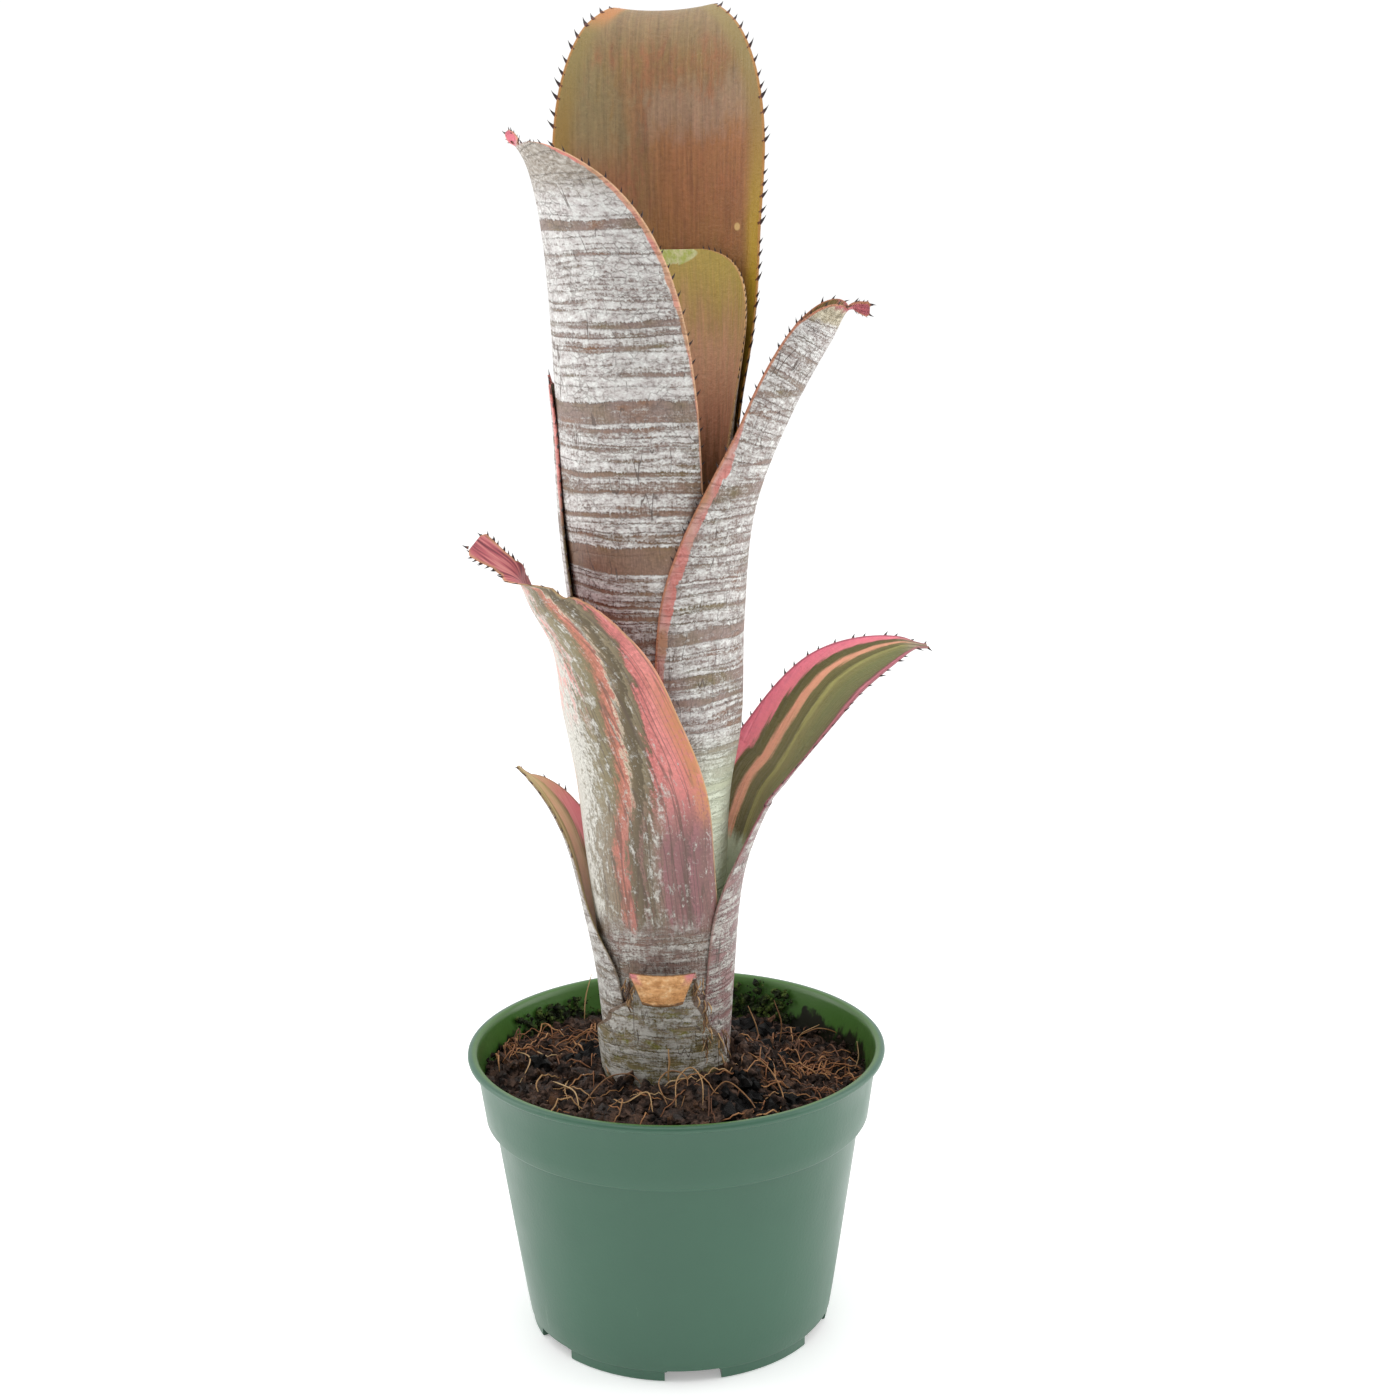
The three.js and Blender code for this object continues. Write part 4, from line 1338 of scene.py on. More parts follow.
def inner_texture(skin, field, contrast):
    """Fine lengthwise veins and faint cross marks over the colour of an inner face."""
    thread = veins(skin, 9)
    broad = veins(skin, 3.2)
    cross = on_blade(skin, 5, 6, 4, 0.7)
    value = scaled(broad, 0.7, thread)
    value = scaled(cross, 0.8, value)
    low, high = 1 - contrast * 2, 1 + contrast * 2
    shade = ramp(times(value, 0.4), [(0.34, (low, low, low, 1)), (0.66, (high, high, high, 1))])
    return blend(1.0, field, shade, "MULTIPLY"), value


def back_tall_skin():
    skin = leaf_surface("leaf_back_tall_skin", 0.4, 1, back_tall.bands)
    patch = on_blade(skin, 0.6, 0.2, 3, 0.55)
    fleck = on_blade(skin, 4, 1.4, 3, 0.6)
    drift = scaled(patch, 1.5, times(fleck, 0.7))
    drift = minus(drift, 1.1)
    across = plus(skin.across, drift)
    down = scaled(drift, -26.0, skin.tip)
    field = ramp(
        scaled(fleck, 0.5, times(patch, 0.5)),
        [(0.38, 150, 120, 70), (0.5, 154, 114, 74), (0.6, 164, 110, 74)],
    )
    red = times(grade(across, 0.25, -0.3), grade(down, 44, 66))
    fresh = blend(grade(skin.tip, 78, 110), paint(172, 108, 68), paint(170, 118, 66))
    field = blend(times(red, 0.65), field, fresh)
    mauve = times(grade(down, 66, 52), grade(down, 36, 48), grade(across, 0.4, 0.0))
    field = blend(times(mauve, 0.5), field, paint(168, 142, 122))
    green = times(grade(down, 68, 52), grade(down, 26, 42), grade(across, 0.25, 0.6))
    field = blend(times(green, 0.7), field, paint(150, 138, 98))
    crest = grade(scaled(drift, 10.0, skin.tip), 34, 22)
    field = blend(times(crest, 0.7), field, paint(152, 130, 94))
    inner, thread = inner_texture(skin, field, 0.17)
    olive = blend(grade(skin.tip, 60, 30), paint(164, 130, 62), paint(158, 138, 84))
    bright = times(grade(skin.across, 0.0, -0.2), grade(skin.tip, 50, 100))
    olive = blend(bright, olive, paint(204, 170, 52))
    edge = scaled(drift, -3.0, skin.rim)
    inner = blend(grade(edge, 9.5, 3.0, 0.0, 0.85), inner, olive)
    spot_across, spot_tip = plus(skin.rim, -10.6), plus(skin.tip, -90.0)
    apart = times(spot_across, spot_across)
    apart = scaled(spot_tip, spot_tip, apart)
    apart = plus(apart, grade(skin.across, -0.1, 0.1, 0.0, 90.0))
    inner = blend(grade(apart, 2.6, 0.8), inner, paint(236, 196, 130))
    corner = times(grade(skin.tip, 24, 14), grade(skin.across, 0.62, 0.8))
    inner = blend(times(corner, 0.75), inner, paint(214, 138, 82))
    outer, outer_height = silver_scales(skin, brown_ground(skin))
    trims = [(0.4, paint(196, 136, 72), 0.75)]
    return finish_leaf(skin, outer, inner, outer_height, thread, trims, 0.42)


back_tall_leaf, back_tall_sections = make_blade("back_tall_blade", back_tall, back_tall_skin())
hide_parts("leaf_back_tall")
grow_spines("back_tall_spines", back_tall, back_tall_sections, 1, 4.7, 3.1)

# The front left leaf: tall and upright, its banded silver back to the front. Its pink margin
# sweeps down from a small spiny tip at the upper left.
front_left = leaf_shape(
    layer=6, growth=0.07, azimuth=224, hugs=270, opens=30,
    way=[(224, 31.3, 305), (222, 32, 340), (214, 33.4, 372), (203, 36, 400), (195, 39.5, 416),
         (191, 42.5, 422), (188, 45.5, 427)],
    widths=[(0, 26, 26), (150, 36, 37), (230, 36, 44)],
    cap=78, power=3, beak=6, spines_from=290, tip_turn=(50, 7, 2),
    ending=[(0, 0.7, 0.7), (1, 1.5, 1.5), (4, 2.1, 2.1), (6, 1.8, 1.8)],
    bands=[(396, 1.6, 1.3), (390, 0.35, 0.5), (387, 0.35, 0.6), (375.5, 0.5, 0.7),
           (372, 0.6, 0.7), (369.5, 0.4, 0.7), (364.5, 1.1, 0.8), (361, 0.9, 0.9),
           (357.5, 1.4, 0.5), (348, 0.6, 0.6), (336, 3.5, 1.1), (330.6, 0.5, 0.7),
           (324, 0.5, 0.6), (316, 0.8, 0.9), (311, 2.2, 0.6), (302, 0.8, 0.8), (295, 0.5, 0.6),
           (287, 4.4, 1.3), (276, 0.7, 0.8), (271, 0.6, 0.8), (267, 0.6, 0.8), (259, 0.8, 0.7),
           (252, 0.6, 0.7), (236, 4, 1), (205, 4, 1)],
)


def front_left_skin():
    skin = leaf_surface("leaf_front_left_skin", 0.5, 2, front_left.bands)
    lower_down = grade(skin.height, 385, 250)
    amount = scaled(lower_down, -0.48, 0.16)
    rusty = times(grade(skin.height, 345, 290), 0.6)
    ground = blend(rusty, brown_ground(skin), paint(124, 88, 60))
    outer, outer_height = silver_scales(skin, ground, amount)
    thread = veins(skin)
    inner = ramp(thread, [(0.35, 112, 92, 52), (0.65, 150, 112, 76)])
    mottle = on_blade(skin, 3, 5, 4, 0.7, scale=1.6)
    mottled = ramp(
        mottle,
        [(0.36, 118, 104, 84), (0.48, 150, 138, 124), (0.56, 170, 162, 150),
         (0.66, 200, 192, 182)],
    )
    top = grade(scaled(mottle, 16.0, skin.tip), 36, 24)
    outer = blend(times(top, 0.85), outer, mottled)
    wide = grade(skin.tip, 50, 100, 1.9, 0.45)
    wide = times(wide, grade(skin.tip, 7, 11))
    salmon = ramp(
        torn_edge(skin),
        [(0.4, 222, 128, 116), (0.52, 212, 150, 116), (0.62, 186, 134, 92)],
    )
    fringe = grade(skin.tip, 7, 11, 0.0, 0.3)
    trims = [(wide, salmon, 0.85), (fringe, paint(232, 190, 146), 0.7)]
    pink_tip = grade(scaled(mottle, 4.0, skin.tip), 9, 6)
    outer = blend(pink_tip, outer, paint(224, 116, 132))
    return finish_leaf(skin, outer, inner, outer_height, thread, trims, 0.55)


front_left_leaf, front_left_sections = make_blade("front_left_blade", front_left, front_left_skin())
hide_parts("leaf_front_left_tall")
grow_spines("front_left_spines", front_left, front_left_sections, 2, 5.5, 2.1)
grow_spines("front_left_tip_spines", front_left, front_left_sections, 12, 1.7, 1.0, 7)

# The inner leaf: the youngest, rolled inside the tube, with a squared end.
inner_leaf = leaf_shape(
    layer=8, growth=0.069, azimuth=66, hugs=280, opens=40,
    way=[(66, 27.4, 320), (67, 29, 360), (69, 29.6, 380), (71, 30, 392)],
    widths=[(0, 22, 22), (150, 34, 32), (240, 42, 22)],
    cap=52, power=2.7, beak=3, blunt=True, spines_from=320,
    bands=[(360, 4, 1)],
)


def inner_leaf_skin():
    skin = leaf_surface("leaf_inner_skin", 0.4, 3, inner_leaf.bands)
    # The inner face goes from olive at the top through salmon to red brown. Its darkest stops
    # toward the base are painted shade, where the leaf lies deep inside the tube.
    tint_and_shade_down = scaled(veins(skin, 3), 40.0, skin.tip)
    tint_and_shade_down = scaled(skin.across, 8.0, tint_and_shade_down)
    field = ramp(
        grade(tint_and_shade_down, 18, 190),
        [(0.0, 216, 192, 104), (0.06, 228, 188, 132), (0.13, 252, 200, 162),
         (0.28, 238, 176, 144), (0.42, 170, 122, 92), (0.57, 108, 84, 56)],
    )
    inner, thread = inner_texture(skin, field, 0.09)
    drop = on_blade(skin, 4, 3, 3, 0.7)
    flap = scaled(drop, 5.0, minus(skin.tip, 2.5))
    flap_end = scaled(skin.tip, -0.11, plus(skin.across, 1.05))
    flap = times(grade(flap, 9.2, 8.4), grade(flap_end, 0.0, 0.06))
    pale = ramp(drop, [(0.4, 216, 228, 128), (0.6, 250, 250, 196)])
    inner = blend(flap, inner, pale)
    outer, outer_height = silver_scales(skin, brown_ground(skin))
    trims = [(0.5, paint(222, 172, 112), 0.8)]
    return finish_leaf(skin, outer, inner, outer_height, thread, trims, 0.42)


inner_blade, inner_sections = make_blade("inner_blade", inner_leaf, inner_leaf_skin())
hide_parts("leaf_inner")
grow_spines("inner_spines", inner_leaf, inner_sections, 3, 2.9, 1.7, 48)

# The front right leaf: silver, wrapped round the front of the tube, with its narrow end
# leaning far out to the right.
right_front = leaf_shape(
    layer=5, growth=0.07, azimuth=330, hugs=200, opens=13,
    way=[(333, 29.5, 225), (336, 31.4, 262), (339, 36.2, 300), (342.4, 49.2, 332),
         (348, 63.2, 358), (348, 69.5, 368.2), (348, 75.8, 367.6)],
    widths=[(0, 26, 26), (120, 34, 34), (190, 34, 34), (255, 20.7, 25)],
    cap=39.4, power=3.3, beak=7, spines_from=285,
    ending=[(0, 1.6, 1.6), (0.8, 2.7, 2.7), (3, 2.1, 2.1), (7, 1.7, 1.7)], tip_turn=(-60, 8, 3),
    bands=[(341, 1.3, 0.6), (335, 0.4, 0.4), (326, 0.5, 0.4), (318, 0.4, 0.4), (309, 2.2, 0.7),
           (300, 0.5, 0.5), (291, 0.5, 0.5), (284, 0.5, 0.5), (277, 0.5, 0.5), (270, 0.5, 0.6),
           (261, 2.2, 0.8), (254, 0.5, 0.5), (245, 2.0, 0.7), (238, 0.9, 0.8), (230, 0.6, 0.6),
           (219, 0.8, 0.6), (206, 1.8, 0.6)],
)


def right_front_skin():
    skin = leaf_surface("leaf_right_front_skin", 0.5, 4, right_front.bands)
    outer, outer_height = silver_scales(skin, brown_ground(skin), -0.3)
    # Painted light: low on the sheath the outer face is lightened towards a pale silver green,
    # brighter than its own colour, to lift it out of the shade between the leaves.
    pale_sheath_painted_light = times(grade(skin.height, 230, 200), 0.7)
    outer = blend(pale_sheath_painted_light, outer, paint(226, 236, 206))
    thread = veins(skin)
    inner = ramp(thread, [(0.35, 116, 96, 50), (0.65, 152, 124, 72)])
    blotch = on_blade(skin, 4, 4, 3, 0.65)
    loose = scaled(blotch, 8.0, skin.tip)
    olive = ramp(blotch, [(0.4, 160, 146, 108), (0.6, 210, 198, 164)])
    outer = blend(times(grade(loose, 20, 16), 0.75), outer, olive)
    left_edge = grade(skin.across, 0.1, -0.3)
    middle = times(grade(skin.tip, 50, 72), grade(skin.tip, 165, 120))
    wide = scaled(times(left_edge, middle), 3.6, 0.35)
    salmon = ramp(
        torn_edge(skin),
        [(0.4, 214, 122, 112), (0.5, 206, 146, 134), (0.62, 182, 130, 96)],
    )
    trims = [(wide, salmon, 0.85), (0.35, paint(190, 124, 86), 0.75)]
    pink_beak = grade(scaled(blotch, 3.0, skin.tip), 10.5, 8.5)
    veined = ramp(thread, [(0.4, 150, 66, 78), (0.6, 214, 112, 120)])
    outer = blend(pink_beak, outer, veined)
    inner = blend(pink_beak, inner, veined)
    return finish_leaf(skin, outer, inner, outer_height, thread, trims, 0.55)


right_front_leaf, right_front_sections = make_blade(
    "right_front_blade", right_front, right_front_skin()
)
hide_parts("leaf_right_front")
grow_spines("right_front_spines", right_front, right_front_sections, 4, 5.0, 2.0)
grow_spines("right_front_tip_spines", right_front, right_front_sections, 14, 1.4, 0.9, 4.5)

# The lower front leaf: striped lengthwise in salmon, olive and silver, narrowing to a waist
# and flaring again into a pink spiny tip at the left.
front_variegated = leaf_shape(
    layer=3, growth=0.085, azimuth=248, hugs=150, opens=30.9, twist=-21.3,
    way=[(246, 28, 176), (242, 30.7, 205), (231.3, 38.1, 233), (217.6, 41.2, 255),
         (209.6, 47.6, 270), (207.6, 52.8, 282.6), (202.8, 64.1, 293.3)],
    widths=[(0, 28, 28), (110, 33, 32), (150, 29.4, 32.4), (200, 21.8, 38.4)],
    cap=90.8, power=2.02, beak=3, spines_from=255, row_pitch=1.6, cap_rows=70,
    tip_turn=(-70, 22, 8),
    ending=[(0, 2.6, 3), (1.2, 4.3, 4.6), (5, 3.9, 4.2), (10, 3.1, 3.3), (14, 3.4, 4.4),
            (18, 8, 13), (22, 13.5, 23.7)],
    bands=[(155, 2, 0.3), (141, 2, 0.35), (128, 2, 0.3), (115, 2, 0.3)],
)


def front_variegated_skin():
    skin = leaf_surface("leaf_front_variegated_skin", 0.5, 5, front_variegated.bands)
    slant = maths("MAXIMUM", scaled(skin.along, 0.0085, -0.943), 0.0)
    streak = on_blade(skin, 6, 1.1, 3, 0.65)
    speck = on_blade(skin, 11, 8, 3, 0.7)
    flake = on_blade(skin, 3.2, 2.0, 3, 0.6)
    swing = on_blade(skin, 0.9, 0.22, 2)
    stripe = minus(skin.across, slant)
    stripe = swayed(stripe, streak, 0.3)
    stripe = swayed(stripe, speck, 0.16)
    stripe = swayed(stripe, swing, 0.14)
    place = scaled(stripe, 0.5, 0.5)
    upper = ramp(
        place,
        [(0.0, 150, 138, 112), (0.3, 150, 138, 108), (0.4, 132, 120, 86), (0.43, 186, 118, 94),
         (0.472, 206, 130, 112), (0.485, 222, 206, 182), (0.505, 122, 106, 78),
         (0.55, 98, 86, 62), (0.575, 146, 132, 104), (0.6, 120, 106, 78), (0.625, 206, 118, 114),
         (0.7, 230, 144, 138), (0.8, 222, 132, 126), (1.0, 226, 142, 130)],
    )
    lower = ramp(
        place,
        [(0.0, 150, 140, 120), (0.3, 150, 138, 118), (0.41, 140, 122, 100),
         (0.435, 182, 116, 98), (0.49, 194, 124, 112), (0.505, 124, 108, 84),
         (0.55, 108, 94, 74), (0.575, 152, 116, 108), (0.59, 116, 100, 78),
         (0.63, 142, 128, 110), (0.68, 150, 120, 108), (0.71, 160, 110, 114),
         (0.75, 140, 108, 102), (0.78, 156, 108, 110), (0.83, 122, 94, 88),
         (0.86, 152, 104, 108), (0.93, 132, 98, 92), (1.0, 146, 102, 102)],
    )
    ground = blend(grade(skin.along, 112, 142), lower, upper)
    base = brown_ground(skin)
    tone = scaled(speck, 0.6, times(streak, 0.4))
    shade = ramp(tone, [(0.36, (0.72, 0.72, 0.72, 1)), (0.64, (1.2, 1.2, 1.2, 1))])
    ground = blend(1.0, ground, shade, "MULTIPLY")
    pores = thin_lines(stretched(skin.blade, (1, 1, 1), (3, 0, 0)), (3.4, 0.16, 1), 0.006, 0.035)
    ground = blend(times(pores, 0.6), ground, paint(92, 76, 64))
    ground = blend(grade(skin.along, 82, 66), ground, base)
    where = ramp(
        place,
        [(0.0, (0.94,) * 4), (0.16, (0.66,) * 4), (0.34, (0.42,) * 4), (0.4, (0.37,) * 4),
         (0.44, (0.31,) * 4), (0.49, (0.31,) * 4), (0.52, (0.32,) * 4), (0.6, (0.36,) * 4),
         (0.64, (0.46,) * 4), (0.69, (0.4,) * 4), (0.73, (0.31,) * 4), (1.0, (0.28,) * 4)],
    )
    high = grade(skin.along, 132, 158)
    on_pink = times(high, grade(place, 0.58, 0.64))
    where = scaled(on_pink, -0.2, where)
    total = plus(times(streak, 0.9), times(speck, 0.7))
    total = scaled(flake, 0.9, total)
    total = plus(total, where)
    cover = grade(total, 1.63, 1.9)
    silver = ramp(speck, [(0.35, 184, 180, 170), (0.65, 230, 228, 220)])
    worn = blend(times(cover, 0.9), ground, silver)
    pink_left = times(
        grade(place, 0.36, 0.28), grade(skin.along, 150, 175), grade(streak, 0.5, 0.58, 0.0, 0.7)
    )
    worn = blend(pink_left, worn, paint(226, 150, 142))
    banded, outer_height = silver_scales(skin, blend(0.5, base, paint(128, 100, 92)), -0.45, 0.9)
    foot = grade(scaled(flake, 22.0, skin.along), 98, 88)
    outer = blend(foot, worn, banded)
    orange = times(grade(skin.along, 116, 128), grade(skin.along, 180, 150))
    loose = scaled(flake, 5.0, skin.rim)
    orange = times(orange, grade(loose, 10, 5))
    ragged = grade(scaled(speck, 0.7, flake), 0.78, 0.86, 0.25, 0.85)
    outer = blend(times(orange, ragged), outer, paint(200, 136, 88))
    inner = ramp(
        on_blade(skin, 9, 0.6, 2),
        [(0.36, 132, 70, 78), (0.5, 198, 104, 112), (0.64, 226, 146, 142)],
    )
    tip_pink = grade(scaled(flake, 5.0, skin.tip), 20, 16)
    outer = blend(tip_pink, outer, paint(200, 108, 116))
    height = scaled(cover, 0.6, times(outer_height, foot))
    trims = [(0.3, paint(206, 168, 112), 0.5)]
    return finish_leaf(skin, outer, inner, height, streak, trims, 0.55)


variegated_leaf, variegated_sections = make_blade(
    "front_variegated_blade", front_variegated, front_variegated_skin()
)
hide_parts("leaf_front_variegated")
grow_spines("front_variegated_spines", front_variegated, variegated_sections, 5, 5.0, 1.7)
grow_spines("variegated_tip_spines", front_variegated, variegated_sections, 15, 2.2, 1.7, 15)

# The lower right leaf: spread wide open to the right, so that its striped inner face shows.
right_lower = leaf_shape(
    layer=2, growth=0.085, azimuth=24, hugs=129.9, opens=39.3, twist=37.5,
    turning=2.12, opening=1.5,
    way=[(24, 29.5, 172), (24.4, 39.4, 196), (20.7, 45, 204.3), (23.9, 70.7, 233.8),
         (23.9, 97.6, 243.6), (23.9, 109.1, 242.5)],
    widths=[(0, 30, 28), (80, 33.8, 28), (120, 28.2, 24.3), (150, 24.4, 23.2)],
    cap=76, power=1.28, beak=5, spines_from=198, row_pitch=1.5,
    bands=[(168, 2, 0.3), (132, 2, 0.3), (112, 2, 0.3)],
)


def right_lower_skin():
    skin = leaf_surface("leaf_right_lower_skin", 0.42, 6, right_lower.bands)
    thread = veins(skin, 11)
    torn = on_blade(skin, 5, 1.1, 3, 0.6)
    stripe = scaled(thread, 0.07, scaled(skin.across, 0.5, 0.435))
    stripe = scaled(torn, 0.06, stripe)
    field = ramp(
        stripe,
        [(0.03, 214, 124, 138), (0.07, 122, 70, 66), (0.1, 112, 110, 62), (0.3, 122, 124, 70),
         (0.42, 136, 130, 72), (0.47, 168, 162, 92), (0.5, 104, 98, 46), (0.6, 118, 110, 58),
         (0.63, 238, 168, 132), (0.69, 240, 166, 134), (0.72, 106, 96, 46), (0.82, 98, 92, 46),
         (0.85, 252, 136, 148), (0.95, 252, 132, 152), (1.0, 246, 122, 144)],
    )
    inner, relief = inner_texture(skin, field, 0.08)
    dark_base = grade(skin.tip, 118, 160)
    inner = blend(times(dark_base, 0.6), inner, paint(66, 76, 34))
    sheath = grade(scaled(torn, 10.0, skin.along), 112, 106)
    inner = blend(sheath, inner, paint(224, 232, 204))
    dry = grade(scaled(torn, 8.0, skin.tip), 18, 8)
    withered = ramp(thread, [(0.4, 112, 92, 72), (0.6, 176, 158, 130)])
    inner = blend(times(dry, 0.9), inner, withered)
    outer, outer_height = silver_scales(skin, paint(140, 104, 102), -0.5, 0.9)
    outer = blend(dry, outer, withered)
    rust = grade(skin.along, 112, 96, 0.0, 0.5)
    pink = grade(skin.along, 104, 120, 0.0, 0.45)
    trims = [(rust, paint(168, 140, 124), 0.5), (pink, paint(150, 66, 84), 0.6)]
    return finish_leaf(skin, outer, inner, outer_height, relief, trims, 0.42)


PRESSED_BY = 0.42
PRESSED_RIM = (0.5, 5)
PRESSED_UP_TO = (95, 115)


def pressed(sections, across):
    """The sheath's margins are pressed against the leaf inside them."""
    width = np.where(across < 0, sections.less[:, None], sections.more[:, None])
    close = 1 - smooth_step(*PRESSED_RIM, width * (1 - np.abs(across)))
    return -PRESSED_BY * close * (1 - smooth_step(*PRESSED_UP_TO, sections.along[:, None]))


right_lower_leaf, right_lower_sections = make_blade(
    "right_lower_blade", right_lower, right_lower_skin(), pressed
)
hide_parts("leaf_right_lower")
grow_spines("right_lower_spines", right_lower, right_lower_sections, 6, 5.6, 2.2)

# The lower left leaf: the smallest, leaning out to the left with its striped inner face up.
left_lower = leaf_shape(
    layer=1, growth=0.082, azimuth=170, hugs=132, opens=12,
    way=[(170, 28.8, 152), (168, 36, 182), (167, 46, 199), (166, 54, 206)],
    widths=[(0, 28, 28), (60, 26, 26), (90, 21, 15)],
    cap=70, power=1.8, beak=5, spines_from=175, row_pitch=1.5, cap_rows=56,
    bands=[(126, 2, 0.3), (108, 2, 0.3)],
)


def left_lower_skin():
    skin = leaf_surface("leaf_left_lower_skin", 0.42, 7, left_lower.bands)
    thread = veins(skin, 11)
    streaky = scaled(thread, 0.14, scaled(skin.across, 0.5, 0.43))
    inner = ramp(
        streaky,
        [(0.0, 250, 140, 150), (0.22, 246, 146, 150), (0.26, 150, 124, 78),
         (0.34, 226, 186, 142), (0.46, 244, 190, 152), (0.51, 160, 140, 78),
         (0.6, 228, 202, 142), (0.68, 146, 130, 62), (0.8, 214, 192, 122), (0.88, 140, 126, 62),
         (1.0, 188, 168, 100)],
    )
    green = grade(skin.tip, 46, 74)
    inner = blend(times(green, 0.5), inner, paint(132, 124, 54))
    inner = blend(grade(skin.along, 76, 60), inner, paint(216, 208, 190))
    dry = grade(scaled(thread, 12.0, skin.tip), 30, 12)
    inner = blend(times(dry, 0.7), inner, paint(206, 182, 122))
    outer, outer_height = silver_scales(skin, paint(132, 116, 100), -0.25, 0.6)
    trims = [(grade(skin.along, 80, 96, 0.0, 0.3), paint(150, 122, 86), 0.6)]
    return finish_leaf(skin, outer, inner, outer_height, thread, trims, 0.42)


left_lower_leaf, left_lower_sections = make_blade(
    "left_lower_blade", left_lower, left_lower_skin(), pressed
)
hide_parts("leaf_left_lower")
grow_spines("left_lower_spines", left_lower, left_lower_sections, 7, 5.2, 1.9)

# The left back leaf: upright behind the tube, showing a thin strip and its pink spiny tip.
left_back = leaf_shape(
    layer=4, growth=0.068, azimuth=150, hugs=260, opens=30,
    way=[(150, 32.6, 295), (157, 33.4, 325), (168, 34, 340), (178, 34.4, 347)],
    widths=[(0, 28, 27), (140, 32, 26.5), (200, 32, 27.5)],
    cap=60, power=2.2, beak=4, spines_from=270,
    bands=[(326, 1.2, 0.8), (296, 3, 0.9), (268, 1, 0.7), (246, 2.4, 0.8), (205, 3, 0.8),
           (160, 2, 0.6)],
)


def left_back_skin():
    skin = leaf_surface("leaf_left_back_skin", 0.5, 8, left_back.bands)
    outer, outer_height = silver_scales(skin, brown_ground(skin))
    thread = veins(skin)
    inner = ramp(thread, [(0.35, 98, 84, 44), (0.65, 134, 112, 66)])
    pink = blend(grade(skin.tip, 62, 34), paint(112, 100, 56), paint(222, 128, 120))
    wide = grade(skin.tip, 62, 34, 0.5, 2.2)
    trims = [(wide, pink, 0.85)]
    return finish_leaf(skin, outer, inner, outer_height, thread, trims, 0.5)


left_back_leaf, left_back_sections = make_blade("left_back_blade", left_back, left_back_skin())
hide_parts("leaf_left_back")
grow_spines("left_back_spines", left_back, left_back_sections, 8, 5.0, 2.4)

# The cut leaf base: an old leaf trimmed off low at the front. Its stub folds out into a small
# orange lip, and its sheath is torn down to the right.
cut_base = leaf_shape(
    layer=-0.7, growth=0.089, azimuth=268, hugs=124, opens=24,
    way=[(268, 28, 133), (268, 29.8, 140.3), (268, 31.8, 141.4), (268, 33.4, 137.5),
         (268, 34, 131)],
    widths=[(0, 46, 32), (22, 45, 29), (36, 37, 23), (48, 23, 16), (56, 13, 12), (66, 12, 12),
            (80, 7, 7)],
    cap=0, beak=0, row_pitch=0.8, bands=[(112, 1.5, 0.2)],
)


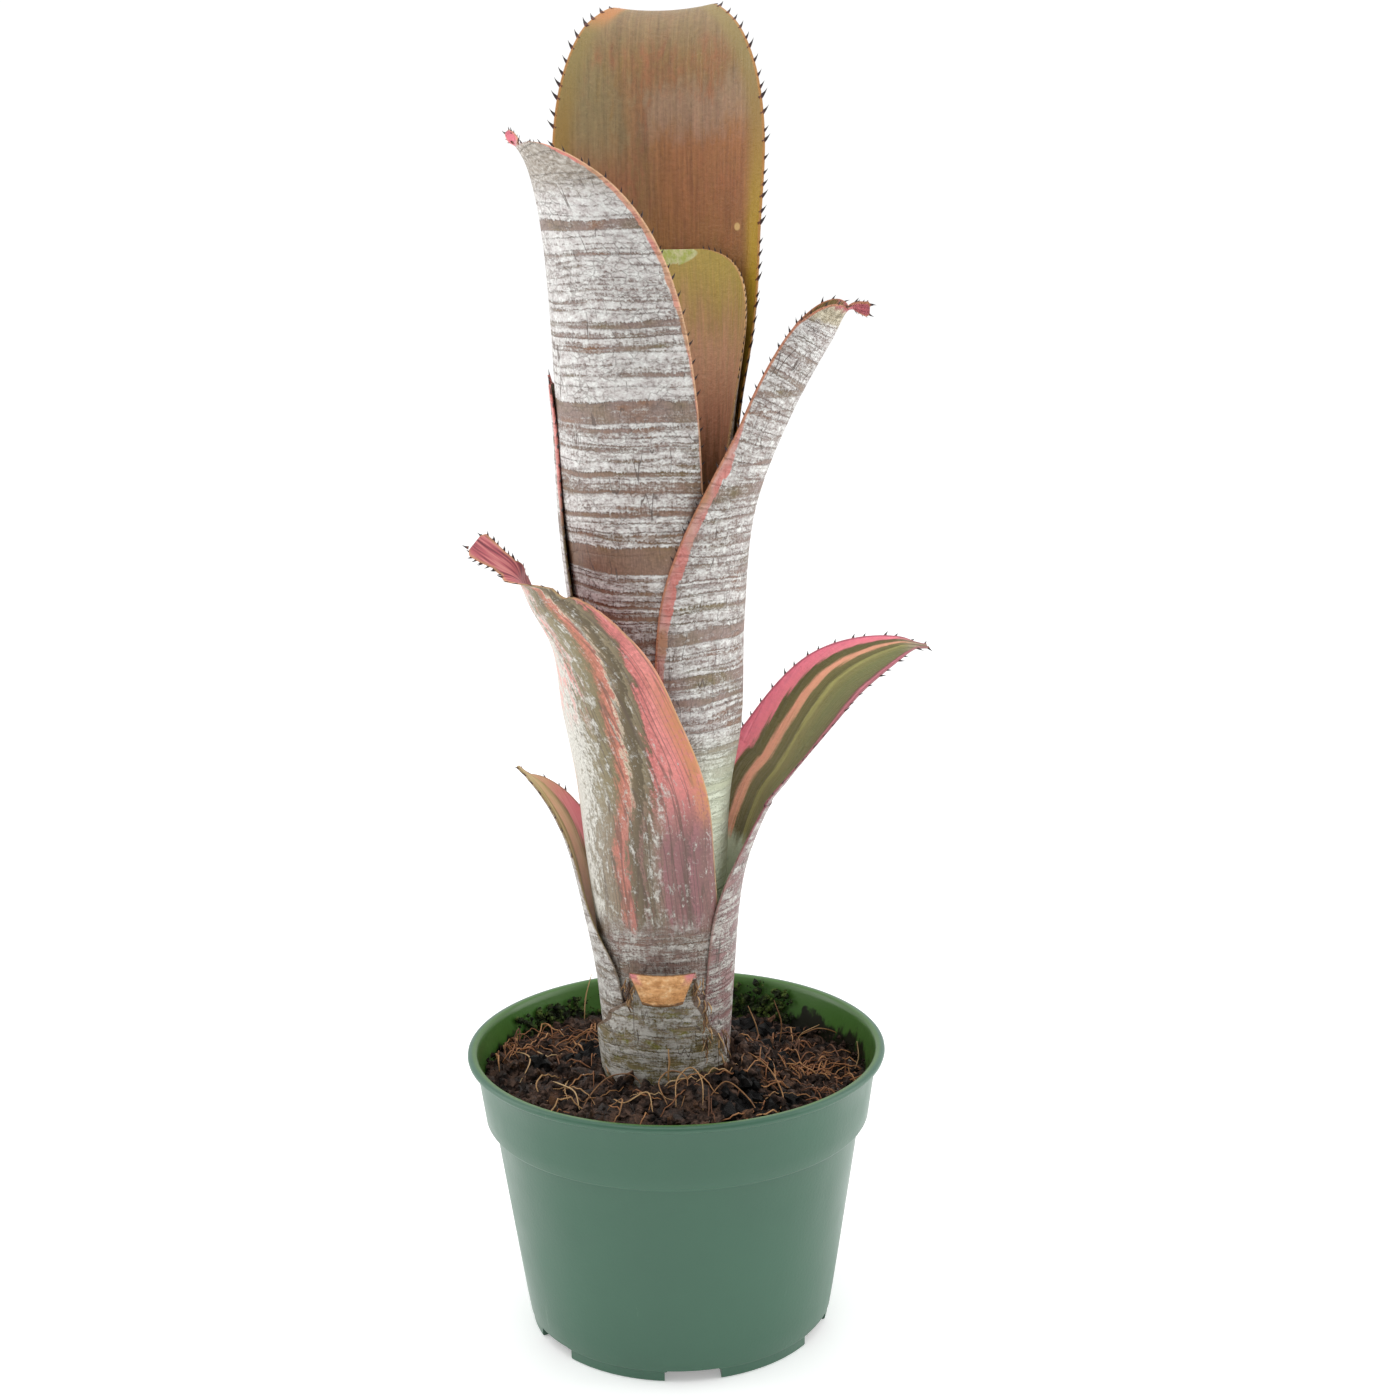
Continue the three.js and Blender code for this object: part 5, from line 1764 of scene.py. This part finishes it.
def cut_base_skin():
    skin = leaf_surface("leaf_cut_base_skin", 0.6, 9, cut_base.bands)
    moss = on_blade(skin, 0.8, 1.2, 3, scale=1.6)
    ground = ramp(
        moss,
        [(0.36, 112, 98, 54), (0.48, 134, 120, 82), (0.56, 140, 122, 98), (0.66, 128, 122, 56)],
    )
    green = times(grade(skin.along, 40, 22), grade(moss, 0.4, 0.56, 0.2, 0.8))
    ground = blend(green, ground, paint(112, 106, 56))
    outer, outer_height = silver_scales(skin, ground, -0.44, 1.0)
    flesh = on_blade(skin, 2.4, 3.4, 4, 0.65, scale=1.4)
    tan = ramp(
        flesh,
        [(0.36, 192, 134, 78), (0.48, 214, 156, 98), (0.6, 236, 182, 126), (0.7, 240, 206, 156)],
    )
    corner = grade(scaled(flesh, 6.0, skin.rim), 7.5, 5)
    upper_lip = grade(skin.tip, 6, 11)
    tan = blend(times(corner, upper_lip), tan, paint(222, 136, 140))
    # Painted light and shade on the lip: the pale band along the crest of its fold is a painted
    # highlight, and the dark band along its lower edge is painted shade.
    pale = times(grade(skin.tip, 11.4, 12.4), grade(skin.tip, 14.4, 13.4))
    tan = blend(times(pale, 0.6), tan, paint(240, 212, 178))
    tan = blend(grade(scaled(flesh, 1.4, skin.tip), 2.2, 1.2, 0.0, 0.8), tan, paint(120, 84, 50))
    lip = grade(scaled(flesh, 1.5, skin.tip), 15.5, 14.8)
    outer = blend(lip, outer, tan)
    inner = ramp(flesh, [(0.4, 84, 60, 38), (0.6, 150, 110, 70)])
    rust = times(grade(skin.along, 26, 40), grade(skin.tip, 16, 20))
    trims = [(times(rust, 1.8), paint(104, 74, 48), 0.8)]
    return finish_leaf(skin, outer, inner, outer_height, moss, trims, 0.6)


cut_base_leaf, _ = make_blade("cut_base_blade", cut_base, cut_base_skin())
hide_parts("leaf_stub")

# Shreds of the torn leaf base: thin brown strips that stand off its torn edges at both sides
# of the lip, and paler fibres further down at the right.
torn = fibre_skin("torn_shreds", [(58, 42, 32), (104, 76, 52), (158, 120, 80), (206, 168, 120)])
SHRED_STEPS = 5
draw = random.Random(41)
shred_paths = []
for x, y, z, wide, high, length, count in [
    (-15.2, -26.4, 136.5, 2.4, 3, 5, 12), (-16.4, -24.9, 132.5, 1.2, 3, 5, 7),
    (8.2, -27.0, 136, 1.6, 4, 5, 12), (11.2, -24.4, 124.4, 1.2, 8, 6, 12),
    (10.4, -24.4, 113, 1.5, 5, 6, 8), (16.6, -19.0, 112, 2.0, 5, 8, 10),
]:
    for _ in range(count):
        shift, start = draw.uniform(-wide, wide), z + draw.uniform(-high, high)
        lean, bulge = draw.uniform(-0.25, 0.25), draw.uniform(0.2, 1.3)
        out = math.hypot(x, y)
        path = []
        for k in range(SHRED_STEPS + 1):
            part = k / SHRED_STEPS
            aside = shift + lean * length * part + 0.35 * math.sin(5 * part + 9 * shift)
            off = 1 + (0.1 + bulge * math.sin(2.6 * part)) / out
            down = length * part * 0.8
            path.append((x * off - y / out * aside, y * off + x / out * aside, start - down))
        shred_paths.append((path, draw.uniform(0.12, 0.34)))
fibre_piece("stub_shreds", shred_paths, torn)
